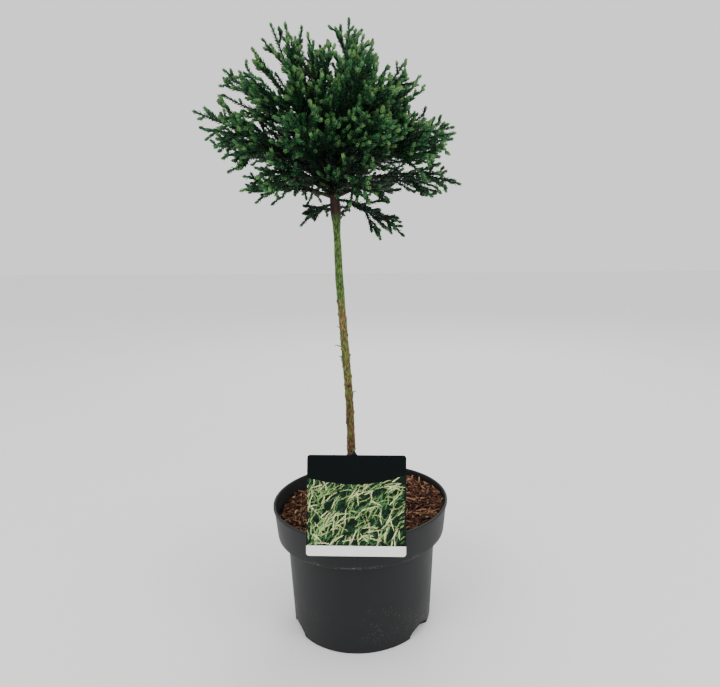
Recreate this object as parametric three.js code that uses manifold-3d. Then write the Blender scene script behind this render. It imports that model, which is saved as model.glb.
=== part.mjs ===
// A young cryptomeria grown as a small standard: a slim straight stem with a round, open crown,
// standing in its nursery pot with a picture label leaned on the rim.
// Millimetres, +Z up. The origin is the middle of the pot's flat underside; the label faces -Y.

import * as THREE from "three";
import { mergeVertices } from "three/addons/utils/BufferGeometryUtils.js";
import Module from "manifold-3d";

const wasm = await Module();
wasm.setup();

// ---- driving dimensions -------------------------------------------------------------------

const CLEARANCE = 0.3; // between every two neighbouring solids

// pot
const POT_HEIGHT = 163;
const RIM_RADIUS = 114.4;
const COLLAR_FOOT_RADIUS = 109.2;
const COLLAR_FOOT_HEIGHT = 121;
const BODY_TOP_RADIUS = 97.4;
const BODY_FOOT_RADIUS = 91;
const POT_WALL = 2.2;
const POT_SIDES = 32;
const LIP_DROP = 4; // height of the thickened lip
const LIP_EXTRA = 1.2; // how far the lip stands out
const FOOT_BEVEL = 2;
const SCOOP_AZIMUTHS = [-154, -34, 86]; // degrees from +X towards +Y
const SCOOP = { depth: 9, halfWidth: 21, height: 11 };

// bark mulch that fills the pot
const MULCH_LEVEL = 150; // at the foot of the stem
const MULCH_FLAT_RADIUS = 34;
const MULCH_RISE = 9; // how much higher the right side lies than the middle
const MULCH_HUMP = { height: 1.2, lengthX: 82, lengthY: 107 };
const MULCH_RINGS = [34, 72];

// stem
const STEM_LINE = [
  [-11, 0, MULCH_LEVEL + CLEARANCE],
  [-11.5, 0, 190],
  [-13, 1, 290],
  [-18, 2, 375],
  [-23, 2, 460],
  [-25, 2, 530],
  [-28, 1, 575],
  [-29, 0, 622],
];
const STEM_STEPS = 20;
const STEM_SIDES = 8;
const STEM_FOOT_RADIUS = 11.5;
const STEM_RADIUS = 5.6;
const STEM_TOP_RADIUS = 4.4;
const FLARE_HEIGHT = 16; // over which the root flare fades
const STEM_EVENNESS = 0.35; // below 1 the rings of the stem lie closer at its foot
const GRAFT = { height: 541, swell: 2, reach: 16 };

// crown: each spray of foliage has an azimuth, a rise above the level and a reach from the heart
const CROWN_HEART = [-22, 0, 590];
const TIERS = [
  {
    name: "skirt", leaves: 548, step: 3, bough: 0,
    sprays: [[192, -57, 84], [352, -46, 116], [95, -50, 84]],
  },
  {
    name: "lower", leaves: 559, step: 5, bough: 34,
    sprays: [[178, -13, 123], [232, -10, 128], [290, -13, 128], [358, -8, 153], [55, -12, 122],
      [118, -10, 130]],
  },
  {
    name: "middle", leaves: 578, step: 6, bough: 36,
    sprays: [[184, 20, 178], [212, 11, 158], [256, 14, 150], [296, 12, 148], [330, 10, 158], [5, 19, 154],
      [62, 14, 152], [124, 15, 154]],
  },
  {
    name: "upper", leaves: 599, step: 5, bough: 30,
    sprays: [[174, 40, 180], [232, 41, 164], [292, 40, 160], [350, 43, 134], [38, 52, 180], [112, 41, 162]],
  },
  {
    name: "crest", leaves: 614, step: 3, bough: 0,
    sprays: [[165, 65, 187], [250, 64, 149], [335, 83, 170], [66, 66, 190]],
  },
];
const BOUGH_SIDES = 5;
const BOUGH_FOOT_RADIUS = 2.5;
const BOUGH_TIP_RADIUS = 1.9;
const BOUGH_LIFT = { toRise: 45, share: 0.35 }; // limbs leave the stem turned towards this rise
const LIMB_SETBACK = 3; // a limb's line starts this far from the middle of the stem, on its own side

const BOUGH_STEPS = 3;

const TWIG_SIDES = 3;
const SPRAY_RADIUS = 2.6;
const SPRAY_STEPS = 3;
const SPRAY_BOW = 0.45; // how far a spray's stem runs on the way it sets out before it bends to its tip
const SHOOT_RADIUS = [0.9, 2.9]; // at the root and at the bend
const SHOOT_BEND = 0.6; // how far along a shoot it turns
const SHOOTS = { count: 8, from: 0.1, over: 0.84, ratio: 0.72, taper: 1.1, jitter: 0.6, turn: 0.7 };
const FORKS = { from: 0.3, jitter: 0.12, ratio: 0.8, taper: 1.15 };
const LENGTH_SPREAD = [0.8, 1.2]; // shortest and longest of like shoots
const SHORTER = [1, 0.8, 0.62, 0.46]; // lengths tried in turn until a shoot keeps to its space
const SPREAD = 0.72; // radians between a shoot and what carries it
const TURN_ALONG = 0.35; // how much a shoot's end turns the way of what carries it
const TURN_UP = 0.16;
const ROOM_CHECKS = [0.3, 0.5, 0.75, 1]; // places along a shoot where its space is looked at
const SHORTEST_SHOOT = 11;
const NEEDLE = { length: 7.5, halfWidth: 0.9, spacing: 60, tilt: 0.62, from: 0.34, over: 0.6 };
const GOLDEN_ANGLE = Math.PI * (3 - Math.sqrt(5));
const SKY_GAPS = [{ at: [-88, 0, 688], along: [-0.174, 1, 0.233], radius: 8 }];
const POINTEDNESS = 0.6; // how much less far a spray's shoots reach for each radian off its own direction

// label and its stake
const CARD = { width: 114.6, height: 114.4, thickness: 0.8, corner: 3.4, foot: 145, tilt: 12, turn: -3.4 };
const STAKE = { width: 8, thickness: 1.6, top: 263, point: 7, foot: 127, lean: 3.9, x: -2 };

// ---- solids -------------------------------------------------------------------------------

function toSolid(geometry) {
  const bare = geometry.clone();
  bare.deleteAttribute("normal");
  bare.deleteAttribute("uv");
  const merged = mergeVertices(bare, 1e-4);
  return new wasm.Manifold(new wasm.Mesh({
    numProp: 3,
    vertProperties: new Float32Array(merged.attributes.position.array),
    triVerts: new Uint32Array(merged.index.array),
  }));
}

function toGeometry(solid) {
  const mesh = solid.getMesh();
  const geometry = new THREE.BufferGeometry();
  geometry.setAttribute("position", new THREE.BufferAttribute(new Float32Array(mesh.vertProperties), 3));
  geometry.setIndex(new THREE.BufferAttribute(new Uint32Array(mesh.triVerts), 1));
  geometry.computeVertexNormals();
  return geometry;
}

// the largest closed body of a solid, without loose scraps
function mainBody(solid) {
  const bodies = solid.decompose();
  return bodies.reduce((best, body) => (body.volume() > best.volume() ? body : best));
}

const group = new THREE.Group();

function addPart(name, geometry, look) {
  const mesh = new THREE.Mesh(geometry, new THREE.MeshStandardMaterial(look));
  mesh.name = name;
  group.add(mesh);
  return mesh;
}

// ---- limbs: closed tapering bodies along a line of points ------------------------------------

function sideways(axis) {
  const helper = Math.abs(axis.z) < 0.9 ? new THREE.Vector3(0, 0, 1) : new THREE.Vector3(1, 0, 0);
  return new THREE.Vector3().crossVectors(axis, helper).normalize();
}

function tangentAt(points, i) {
  const before = points[Math.max(i - 1, 0)];
  const after = points[Math.min(i + 1, points.length - 1)];
  return new THREE.Vector3().subVectors(after, before).normalize();
}

// a last radius of 0 closes the limb in a point; otherwise both ends are flat
function limbGeometry(points, radii, sides, footAxis) {
  const pointed = radii[radii.length - 1] === 0;
  const rings = pointed ? points.length - 1 : points.length;
  const positions = [];
  let side = sideways(footAxis ?? tangentAt(points, 0));
  for (let i = 0; i < rings; i++) {
    const axis = i === 0 && footAxis ? footAxis : tangentAt(points, i);
    side = side.clone().addScaledVector(axis, -side.dot(axis)).normalize();
    const other = new THREE.Vector3().crossVectors(axis, side);
    for (let k = 0; k < sides; k++) {
      const turn = (2 * Math.PI * k) / sides;
      const corner = points[i].clone()
        .addScaledVector(side, radii[i] * Math.cos(turn))
        .addScaledVector(other, radii[i] * Math.sin(turn));
      positions.push(corner.x, corner.y, corner.z);
    }
  }
  const faces = [];
  for (let k = 1; k < sides - 1; k++) {
    faces.push(0, k + 1, k);
  }
  for (let i = 0; i < rings - 1; i++) {
    for (let k = 0; k < sides; k++) {
      const a = i * sides + k;
      const b = i * sides + ((k + 1) % sides);
      faces.push(a, b, b + sides, a, b + sides, a + sides);
    }
  }
  const last = (rings - 1) * sides;
  if (pointed) {
    const tip = points[points.length - 1];
    positions.push(tip.x, tip.y, tip.z);
    for (let k = 0; k < sides; k++) {
      faces.push(last + k, last + ((k + 1) % sides), rings * sides);
    }
  } else {
    for (let k = 1; k < sides - 1; k++) {
      faces.push(last, last + k, last + k + 1);
    }
  }
  const geometry = new THREE.BufferGeometry();
  geometry.setAttribute("position", new THREE.Float32BufferAttribute(positions, 3));
  geometry.setIndex(faces);
  geometry.computeVertexNormals();
  return geometry;
}

// ---- pot and mulch --------------------------------------------------------------------------

function lathe(profile) {
  const points = profile.map(([radius, height]) => new THREE.Vector2(radius, height));
  return new THREE.LatheGeometry(points, POT_SIDES).rotateX(Math.PI / 2);
}

function potOuter() {
  return lathe([
    [0, 0],
    [BODY_FOOT_RADIUS - FOOT_BEVEL, 0],
    [BODY_FOOT_RADIUS, FOOT_BEVEL],
    [BODY_TOP_RADIUS, COLLAR_FOOT_HEIGHT],
    [COLLAR_FOOT_RADIUS, COLLAR_FOOT_HEIGHT],
    [RIM_RADIUS - LIP_EXTRA, POT_HEIGHT - LIP_DROP],
    [RIM_RADIUS, POT_HEIGHT - LIP_DROP],
    [RIM_RADIUS, POT_HEIGHT],
    [0, POT_HEIGHT],
  ]);
}

// how much the collar widens for each millimetre of height
const COLLAR_SLOPE = (RIM_RADIUS - LIP_EXTRA - COLLAR_FOOT_RADIUS)
  / (POT_HEIGHT - LIP_DROP - COLLAR_FOOT_HEIGHT);

// the inside of the pot, shrunk by a further gap for what fills it
function potInner(gap, top) {
  const wall = POT_WALL + gap;
  const shoulder = COLLAR_FOOT_HEIGHT + wall;
  return [
    [0, wall],
    [BODY_FOOT_RADIUS - wall, wall],
    [BODY_TOP_RADIUS - wall, shoulder],
    [COLLAR_FOOT_RADIUS - wall, shoulder],
    [COLLAR_FOOT_RADIUS - wall + COLLAR_SLOPE * (top - shoulder), top],
  ];
}

// the three arched dents round the foot of the pot
function scoops(gap) {
  return SCOOP_AZIMUTHS.map((azimuth) => {
    const dent = new THREE.SphereGeometry(1, 12, 8);
    dent.rotateX(Math.PI / 2);
    dent.scale(SCOOP.depth + gap, SCOOP.halfWidth + gap, SCOOP.height + gap);
    dent.translate(BODY_FOOT_RADIUS, 0, 0);
    dent.rotateZ(THREE.MathUtils.degToRad(azimuth));
    return toSolid(dent);
  });
}

function makePot() {
  let cavity = toSolid(lathe([...potInner(0, POT_HEIGHT + 1), [0, POT_HEIGHT + 1]]));
  let pot = toSolid(potOuter());
  scoops(POT_WALL).forEach((dent) => {
    cavity = cavity.subtract(dent);
  });
  scoops(0).forEach((dent) => {
    pot = pot.subtract(dent);
  });
  return mainBody(pot.subtract(cavity));
}

// the mulch lies flat round the stem and rises a little to the right, with a few low humps
function mulchHeight(x, y) {
  const out = Math.max(Math.hypot(x, y) - MULCH_FLAT_RADIUS, 0) / (RIM_RADIUS - MULCH_FLAT_RADIUS);
  const across = Math.sin((2 * Math.PI * x) / MULCH_HUMP.lengthX);
  const wave = across * Math.cos((2 * Math.PI * y) / MULCH_HUMP.lengthY);
  return MULCH_LEVEL + out * (MULCH_RISE * (x / RIM_RADIUS) + MULCH_HUMP.height * wave);
}

function makeMulch(stakeSolid) {
  const wall = potInner(CLEARANCE, MULCH_LEVEL);
  const rings = [...MULCH_RINGS].reverse().map((radius) => [radius, MULCH_LEVEL]);
  const geometry = lathe([...wall, ...rings, [0, MULCH_LEVEL]]);
  const place = geometry.attributes.position;
  for (let i = 0; i < place.count; i++) {
    if (place.getZ(i) > MULCH_LEVEL - 1) {
      const [x, y] = [place.getX(i), place.getY(i)];
      const height = mulchHeight(x, y);
      const radius = Math.hypot(x, y);
      const atWall = radius > MULCH_RINGS[MULCH_RINGS.length - 1] + 1;
      const out = atWall ? 1 + (COLLAR_SLOPE * (height - MULCH_LEVEL)) / radius : 1;
      place.setXYZ(i, x * out, y * out, height);
    }
  }
  let mulch = toSolid(geometry);
  scoops(POT_WALL + CLEARANCE).forEach((dent) => {
    mulch = mulch.subtract(dent);
  });
  return mainBody(mulch.subtract(stakeSolid));
}

// ---- label card and stake ---------------------------------------------------------------------

function makeCard() {
  const { width, height, thickness, corner, foot, tilt, turn } = CARD;
  const outline = new THREE.Shape();
  const half = width / 2;
  outline.moveTo(-half + corner, 0);
  outline.lineTo(half - corner, 0);
  outline.absarc(half - corner, corner, corner, -Math.PI / 2, 0);
  outline.lineTo(half, height - corner);
  outline.absarc(half - corner, height - corner, corner, 0, Math.PI / 2);
  outline.lineTo(-half + corner, height);
  outline.absarc(-half + corner, height - corner, corner, Math.PI / 2, Math.PI);
  outline.lineTo(-half, corner);
  outline.absarc(-half + corner, corner, corner, Math.PI, Math.PI * 1.5);
  const settings = { depth: thickness, bevelEnabled: false, curveSegments: 3 };
  const card = new THREE.ExtrudeGeometry(outline, settings);
  card.rotateX(Math.PI / 2);
  card.rotateX(-THREE.MathUtils.degToRad(tilt));
  const rest = POT_HEIGHT - foot;
  card.translate(0, -rest * Math.tan(THREE.MathUtils.degToRad(tilt)), 0);
  card.rotateZ(THREE.MathUtils.degToRad(turn));
  card.translate(0, -RIM_RADIUS - CLEARANCE, foot);
  return card;
}

function stakeGeometry(gap) {
  const { width, thickness, top, point, foot, lean, x } = STAKE;
  const half = width / 2 + gap;
  const length = top - foot;
  const outline = new THREE.Shape();
  outline.moveTo(0, -gap);
  outline.lineTo(half, 2 * point);
  outline.lineTo(half, length - point);
  outline.lineTo(0, length + gap);
  outline.lineTo(-half, length - point);
  outline.lineTo(-half, 2 * point);
  outline.closePath();
  const stake = new THREE.ExtrudeGeometry(outline, { depth: thickness + 2 * gap, bevelEnabled: false });
  stake.translate(0, 0, -thickness - gap);
  stake.rotateX(Math.PI / 2);
  stake.translate(0, 0, -length);
  stake.rotateX(-THREE.MathUtils.degToRad(lean));
  const cardTop = CARD.foot + CARD.height * Math.cos(THREE.MathUtils.degToRad(CARD.tilt));
  const back = (cardTop - POT_HEIGHT) * Math.tan(THREE.MathUtils.degToRad(CARD.tilt));
  stake.translate(x, -RIM_RADIUS + back + 2 * CLEARANCE, top);
  return stake;
}

// ---- stem -------------------------------------------------------------------------------------

const stemCurve = new THREE.CatmullRomCurve3(STEM_LINE.map((point) => new THREE.Vector3(...point)));

function stemRadius(height) {
  const above = height - MULCH_LEVEL;
  const share = above / (STEM_LINE[STEM_LINE.length - 1][2] - MULCH_LEVEL);
  const taper = STEM_RADIUS + (STEM_TOP_RADIUS - STEM_RADIUS) * share;
  const flare = (STEM_FOOT_RADIUS - STEM_RADIUS) * Math.exp(-above / FLARE_HEIGHT);
  const graft = GRAFT.swell * Math.exp(-(((height - GRAFT.height) / GRAFT.reach) ** 2));
  return taper + flare + graft;
}

// closer rings at the flare, even ones above
function stemPoints() {
  const points = [];
  for (let i = 0; i <= STEM_STEPS; i++) {
    const even = i / STEM_STEPS;
    points.push(stemCurve.getPoint(even * (STEM_EVENNESS + (1 - STEM_EVENNESS) * even)));
  }
  return points;
}

const upward = new THREE.Vector3(0, 0, 1);

function stemGeometry(gap) {
  const points = stemPoints();
  const radii = points.map((point) => stemRadius(point.z) + gap);
  if (gap > 0) {
    points[points.length - 1].z += gap;
  }
  return limbGeometry(points, radii, STEM_SIDES, upward);
}

function stemCentre(height) {
  const points = stemPoints();
  const next = Math.max(points.findIndex((point) => point.z > height), 1);
  const share = (height - points[next - 1].z) / (points[next].z - points[next - 1].z);
  return points[next - 1].clone().lerp(points[next], share);
}

// ---- crown: where the boughs and the stems of the sprays run -------------------------------------

// repeatable random numbers between 0 and 1
function seeded(seed) {
  let state = seed >>> 0;
  return () => {
    state = (state + 0x6d2b79f5) >>> 0;
    let t = state;
    t = Math.imul(t ^ (t >>> 15), t | 1);
    t ^= t + Math.imul(t ^ (t >>> 7), t | 61);
    return ((t ^ (t >>> 14)) >>> 0) / 4294967296;
  };
}

function bearing(azimuth, rise) {
  const a = THREE.MathUtils.degToRad(azimuth);
  const r = THREE.MathUtils.degToRad(rise);
  return new THREE.Vector3(Math.cos(r) * Math.cos(a), Math.cos(r) * Math.sin(a), Math.sin(r));
}

function bend(from, way, to, share) {
  const middle = from.clone().addScaledVector(way, from.distanceTo(to) * SPRAY_BOW);
  return new THREE.QuadraticBezierCurve3(from, middle, to).getPoint(share);
}

const heart = new THREE.Vector3(...CROWN_HEART);

function planSprays() {
  const plans = [];
  for (const tier of TIERS) {
    tier.sprays.forEach(([azimuth, rise, reach], i) => {
      const tip = heart.clone().addScaledVector(bearing(azimuth, rise), reach);
      const leaves = tier.leaves + tier.step * (i % 2 === 0 ? -1 : 1);
      const foot = stemCentre(leaves).addScaledVector(bearing(azimuth, 0), LIMB_SETBACK);
      const out = Math.hypot(tip.x - foot.x, tip.y - foot.y);
      const level = THREE.MathUtils.radToDeg(Math.atan2(tip.z - foot.z, out));
      const way = bearing(azimuth, level + BOUGH_LIFT.share * (BOUGH_LIFT.toRise - level));
      const bough = tier.bough ? [foot] : [];
      for (let k = 1; tier.bough && k <= BOUGH_STEPS; k++) {
        bough.push(foot.clone().addScaledVector(way, (tier.bough * k) / BOUGH_STEPS));
      }
      const start = tier.bough ? bough[BOUGH_STEPS].clone().addScaledVector(way, CLEARANCE) : foot;
      const line = [];
      for (let k = 0; k <= SPRAY_STEPS; k++) {
        line.push(bend(start, way, tip, k / SPRAY_STEPS));
      }
      const away = tip.clone().sub(heart); // from the heart to the spray's tip
      plans.push({ name: `${tier.name}_${i + 1}`, bough, way, line, away, length: start.distanceTo(tip) });
    });
  }
  return plans;
}

const plans = planSprays();

function distanceToLine(point, line) {
  const nearest = new THREE.Vector3();
  const piece = new THREE.Line3();
  let best = Infinity;
  for (let i = 0; i + 1 < line.length; i++) {
    piece.set(line[i], line[i + 1]);
    piece.closestPointToPoint(point, true, nearest);
    best = Math.min(best, nearest.distanceTo(point));
  }
  return best;
}

const stemLine = stemPoints();

// whether a ball of this radius stays in the spray's own space, off the limbs and out of the sky gaps
function hasRoom(point, radius, own) {
  const { away: ahead } = plans[own];
  const off = point.clone().sub(heart);
  if (off.length() + radius > ahead.length() * (1 - POINTEDNESS * off.angleTo(ahead))) {
    return false;
  }
  const mine = distanceToLine(point, plans[own].line);
  for (let j = 0; j < plans.length; j++) {
    if (j !== own && (distanceToLine(point, plans[j].line) - mine) / 2 < radius + CLEARANCE) {
      return false;
    }
    const offBough = plans[j].bough.length ? distanceToLine(point, plans[j].bough) : Infinity;
    if (offBough < BOUGH_FOOT_RADIUS + CLEARANCE + radius) {
      return false;
    }
  }
  if (distanceToLine(point, stemLine) < stemRadius(point.z) + CLEARANCE + radius) {
    return false;
  }
  return SKY_GAPS.every((gap) => {
    const away = point.clone().sub(new THREE.Vector3(...gap.at));
    const along = new THREE.Vector3(...gap.along).normalize();
    return away.addScaledVector(along, -away.dot(along)).length() > gap.radius;
  });
}

// ---- crown: shoots that branch from the stem of a spray --------------------------------------------

function lineAt(line, share) {
  const place = Math.min(share * (line.length - 1), line.length - 1.001);
  const i = Math.floor(place);
  return line[i].clone().lerp(line[i + 1], place - i);
}

function lineWay(line, share) {
  const i = Math.min(Math.floor(share * (line.length - 1)), line.length - 2);
  return new THREE.Vector3().subVectors(line[i + 1], line[i]).normalize();
}

// a shoot leaves its carrier at an acute angle and then turns towards the carrier's own way and upwards
function shootLine(carrier, share, roll, length) {
  const root = lineAt(carrier, share);
  const way = lineWay(carrier, share);
  const out = sideways(way).applyAxisAngle(way, roll);
  const first = way.clone().multiplyScalar(Math.cos(SPREAD)).addScaledVector(out, Math.sin(SPREAD));
  const second = first.clone().addScaledVector(way, TURN_ALONG).addScaledVector(upward, TURN_UP).normalize();
  const middle = root.clone().addScaledVector(first, length * SHOOT_BEND);
  return [root, middle, middle.clone().addScaledVector(second, length * (1 - SHOOT_BEND))];
}

// the longest of a few lengths at which the shoot keeps to its spray's space
function fittingShoot(carrier, share, roll, length, own) {
  for (const cut of SHORTER) {
    const line = shootLine(carrier, share, roll, length * cut);
    if (length * cut < SHORTEST_SHOOT) {
      return null;
    }
    const fits = ROOM_CHECKS.every((at) => hasRoom(lineAt(line, at), SHOOT_RADIUS[1], own));
    if (fits) {
      return line;
    }
  }
  return null;
}

function growShoots(own) {
  const plan = plans[own];
  const draw = seeded(own + 1);
  const shoots = [];
  for (let k = 0; k < SHOOTS.count; k++) {
    const share = SHOOTS.from + (SHOOTS.over * (k + SHOOTS.jitter * draw())) / SHOOTS.count;
    const roll = k * GOLDEN_ANGLE + SHOOTS.turn * draw();
    const varied = THREE.MathUtils.lerp(...LENGTH_SPREAD, draw());
    const length = plan.length * SHOOTS.ratio * (SHOOTS.taper - share) * varied;
    const forkShare = FORKS.from + FORKS.jitter * draw();
    const forkRoll = 2 * Math.PI * draw();
    const shoot = fittingShoot(plan.line, share, roll, length, own);
    if (!shoot) {
      continue;
    }
    shoots.push(shoot);
    const forkLength = length * FORKS.ratio * (FORKS.taper - forkShare);
    const fork = fittingShoot(shoot, forkShare, forkRoll, forkLength, own);
    if (fork) {
      shoots.push(fork);
    }
  }
  return shoots;
}

function shootSolid(line) {
  return toSolid(limbGeometry(line, [...SHOOT_RADIUS, 0], TWIG_SIDES));
}

// needles stand out of a shoot, pointing forwards, their roots sunk in the shoot
function needleSolids(line, own) {
  const needles = [];
  const length = line[0].distanceTo(line[line.length - 1]);
  const count = Math.max(1, Math.round(length / NEEDLE.spacing));
  for (let k = 0; k < count; k++) {
    const share = NEEDLE.from + (NEEDLE.over * (k + 0.5)) / count;
    const way = lineWay(line, share);
    const out = sideways(way).applyAxisAngle(way, k * GOLDEN_ANGLE + length);
    const root = lineAt(line, share);
    const lean = way.clone().multiplyScalar(Math.cos(NEEDLE.tilt));
    const tip = root.clone().addScaledVector(lean.addScaledVector(out, Math.sin(NEEDLE.tilt)), NEEDLE.length);
    if (hasRoom(tip, CLEARANCE, own)) {
      needles.push(toSolid(limbGeometry([root, tip], [NEEDLE.halfWidth, 0], TWIG_SIDES)));
    }
  }
  return needles;
}

function makeSpray(own, stemSolid) {
  const { line } = plans[own];
  const radii = line.map((_, k) => (k < SPRAY_STEPS ? SPRAY_RADIUS : 0));
  const shoots = growShoots(own);
  const pieces = [toSolid(limbGeometry(line, radii, TWIG_SIDES, plans[own].way))];
  pieces.push(...shoots.map((shoot) => shootSolid(shoot)));
  for (const shoot of [line, ...shoots]) {
    pieces.push(...needleSolids(shoot, own));
  }
  return mainBody(wasm.Manifold.union(pieces).subtract(stemSolid));
}

// ---- assembly -------------------------------------------------------------------------------------

const PLASTIC = { color: 0x333538, roughness: 0.55, metalness: 0 };
const MULCH = { color: 0x5a2c1c, roughness: 0.95, metalness: 0 };
const BARK = { color: 0x6f6a3a, roughness: 0.8, metalness: 0 };
const FOLIAGE = { color: 0x1f4a2b, roughness: 0.7, metalness: 0 };
const CARD_LOOK = { color: 0x86a57c, roughness: 0.35, metalness: 0 };
const STAKE_LOOK = { color: 0x101312, roughness: 0.45, metalness: 0 };

addPart("pot", toGeometry(makePot()), PLASTIC);
addPart("mulch", toGeometry(makeMulch(toSolid(stakeGeometry(CLEARANCE)))), MULCH);
addPart("trunk", stemGeometry(0), BARK);

const stemCutter = toSolid(stemGeometry(CLEARANCE));
plans.forEach((plan, own) => {
  if (plan.bough.length) {
    const taper = [BOUGH_FOOT_RADIUS, BOUGH_TIP_RADIUS];
    const radii = plan.bough.map((_, k) => THREE.MathUtils.lerp(...taper, k / BOUGH_STEPS));
    const bough = toSolid(limbGeometry(plan.bough, radii, BOUGH_SIDES)).subtract(stemCutter);
    addPart(`bough_${plan.name}`, toGeometry(mainBody(bough)), BARK);
  }
  addPart(`foliage_${plan.name}`, toGeometry(makeSpray(own, stemCutter)), FOLIAGE);
});

addPart("label_card", makeCard(), CARD_LOOK);
addPart("label_stake", stakeGeometry(0), STAKE_LOOK);

export default group;
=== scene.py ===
"""Dresses a potted cryptomeria: bark, boughs, shoots clad in needles, mulch, nursery pot and label card.

The construction model is loaded as a fixed frame, and every visible piece is grown or turned round it.
The file is laid out as an add-on and is run as a script.
"""

import math
from functools import cache

import bmesh
import bpy
import numpy as np
from bpy.props import FloatProperty, FloatVectorProperty, IntProperty, PointerProperty
from mathutils import Matrix, Vector


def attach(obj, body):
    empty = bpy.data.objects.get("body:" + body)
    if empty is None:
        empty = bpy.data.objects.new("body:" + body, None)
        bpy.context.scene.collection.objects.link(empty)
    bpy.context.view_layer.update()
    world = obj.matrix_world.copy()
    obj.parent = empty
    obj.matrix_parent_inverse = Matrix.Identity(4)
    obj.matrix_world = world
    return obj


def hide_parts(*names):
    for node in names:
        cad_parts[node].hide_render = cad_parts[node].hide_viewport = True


bl_info = {
    "name": "Potted cryptomeria",
    "version": (1, 0, 0),
    "blender": (4, 5, 0),
    "location": "3D View > Sidebar > Cryptomeria",
    "description": "Grows the needles, bark, mulch, pot and label of a small standard cryptomeria",
    "category": "Object",
}

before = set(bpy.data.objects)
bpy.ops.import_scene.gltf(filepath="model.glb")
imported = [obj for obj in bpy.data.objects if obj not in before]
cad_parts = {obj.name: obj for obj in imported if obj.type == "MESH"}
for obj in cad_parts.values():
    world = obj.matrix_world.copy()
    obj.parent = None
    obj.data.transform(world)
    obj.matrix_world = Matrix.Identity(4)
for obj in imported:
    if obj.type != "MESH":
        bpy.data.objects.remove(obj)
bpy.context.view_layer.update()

MM = 0.001  # the crown, pot and card below are laid out in millimetres, as their construction is
CLEARANCE = 0.3
UPWARD = np.array((0, 0, 1.0))


# ---- colours and shaders -----------------------------------------------------------------------------

MIX_FACTOR, MIX_A, MIX_B, MIX_RESULT = 0, 6, 7, 2  # sockets of a Mix node that mixes colours


def linear(code):
    """A hex colour of the sRGB kind as linear red, green and blue."""
    parts = [int(code[i : i + 2], 16) / 255 for i in (1, 3, 5)]
    return tuple(v / 12.92 if v <= 0.04045 else ((v + 0.055) / 1.055) ** 2.4 for v in parts)


def scaled(colour, share):
    """A darker or lighter shade of a linear colour."""
    return tuple(min(1, c * share) for c in colour)


def opaque(colour):
    """A linear colour, or a grey given as one number, with a full alpha."""
    return (*((colour,) * 3 if isinstance(colour, float) else colour), 1)


def set_inputs(material, node, inputs):
    """Each input is a value, the socket that feeds it, or the node whose first output feeds it."""
    for name, value in inputs.items():
        if isinstance(value, bpy.types.Node):
            value = value.outputs[0]
        if isinstance(value, bpy.types.NodeSocket):
            material.node_tree.links.new(value, node.inputs[name])
        else:
            node.inputs[name].default_value = value


def add_node(material, kind, inputs=None, stops=(), **settings):
    """One shader node with its settings, colour stops and inputs."""
    node = material.node_tree.nodes.new(f"ShaderNode{kind}")
    for name, value in settings.items():
        setattr(node, name, value)
    for i, (place, colour) in enumerate(stops):
        element = node.color_ramp.elements[i] if i < 2 else node.color_ramp.elements.new(place)
        element.position = place
        element.color = opaque(colour)
    set_inputs(material, node, inputs or {})
    return node


def new_material(name):
    """An empty node material, its principled shader, and the socket of places on the object in metres."""
    material = bpy.data.materials.new(name)
    material.use_nodes = True
    material.node_tree.nodes.clear()
    shader = add_node(material, "BsdfPrincipled")
    add_node(material, "OutputMaterial", {"Surface": shader})
    return material, shader, add_node(material, "TexCoord").outputs["Object"]


def finish(material, shader, **inputs):
    """The material, with its shader's inputs set or joined; an underscore stands for a space."""
    set_inputs(material, shader, {name.replace("_", " "): value for name, value in inputs.items()})
    return material


def mottled_material(name, scale, stops, relief=None, detail=3, **inputs):
    """A material whose colour wanders through the stops in patches.

    The relief, where there is one, is the scale and detail of its bumps, their strength and their depth.
    """
    material, shader, at = new_material(name)
    patch = add_node(material, "TexNoise", {"Vector": at, "Scale": scale, "Detail": detail})
    if relief:
        relief_scale, relief_detail, strength, depth = relief
        spots = {"Vector": at, "Scale": relief_scale, "Detail": relief_detail}
        bumps = add_node(material, "TexNoise", spots)
        inputs["Normal"] = add_node(
            material, "Bump", {"Height": bumps, "Strength": strength, "Distance": depth * MM})
    tone = add_node(material, "ValToRGB", {"Fac": patch}, stops)
    return finish(material, shader, Base_Color=tone, **inputs)


def rise(material, at, low, high):
    """The node that says how far up between two heights a place is, from 0 to 1."""
    height = add_node(material, "SeparateXYZ", {"Vector": at}).outputs["Z"]
    return add_node(material, "MapRange", {"Value": height, "From Min": low * MM, "From Max": high * MM})


# ---- lines and directions ----------------------------------------------------------------------------


def lerp(a, b, share):
    """A value between two others."""
    return a + (b - a) * share


def curve(start, middle, end, share):
    """A point of the curve that leaves its start towards the middle and comes from there to its end."""
    return start * (1 - share) ** 2 + middle * 2 * share * (1 - share) + end * share**2


def unit(vectors):
    """Each vector at length 1."""
    return vectors / np.linalg.norm(vectors, axis=-1, keepdims=True)


def sideways(axis):
    """A direction square to each axis, level wherever the axis isn't steep."""
    steep = np.abs(axis[..., 2:]) >= 0.9
    return unit(np.cross(axis, np.where(steep, np.array((1.0, 0, 0)), UPWARD)))


def turned(vector, axis, angle):
    """A vector turned round an axis."""
    across = np.cross(axis, vector) * math.sin(angle)
    return vector * math.cos(angle) + across + axis * np.dot(axis, vector) * (1 - math.cos(angle))


def all_round(along, side, count):
    """Directions all round each axis, from a first one square to it, as (..., count, xyz)."""
    turn = 2 * np.pi * np.arange(count)[:, None] / count
    return side[..., None, :] * np.cos(turn) + np.cross(along, side)[..., None, :] * np.sin(turn)


def run_of(line):
    """The lengths of a line's straight stretches."""
    return np.linalg.norm(np.diff(line, axis=0), axis=1)


# ---- meshes ------------------------------------------------------------------------------------------


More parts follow.
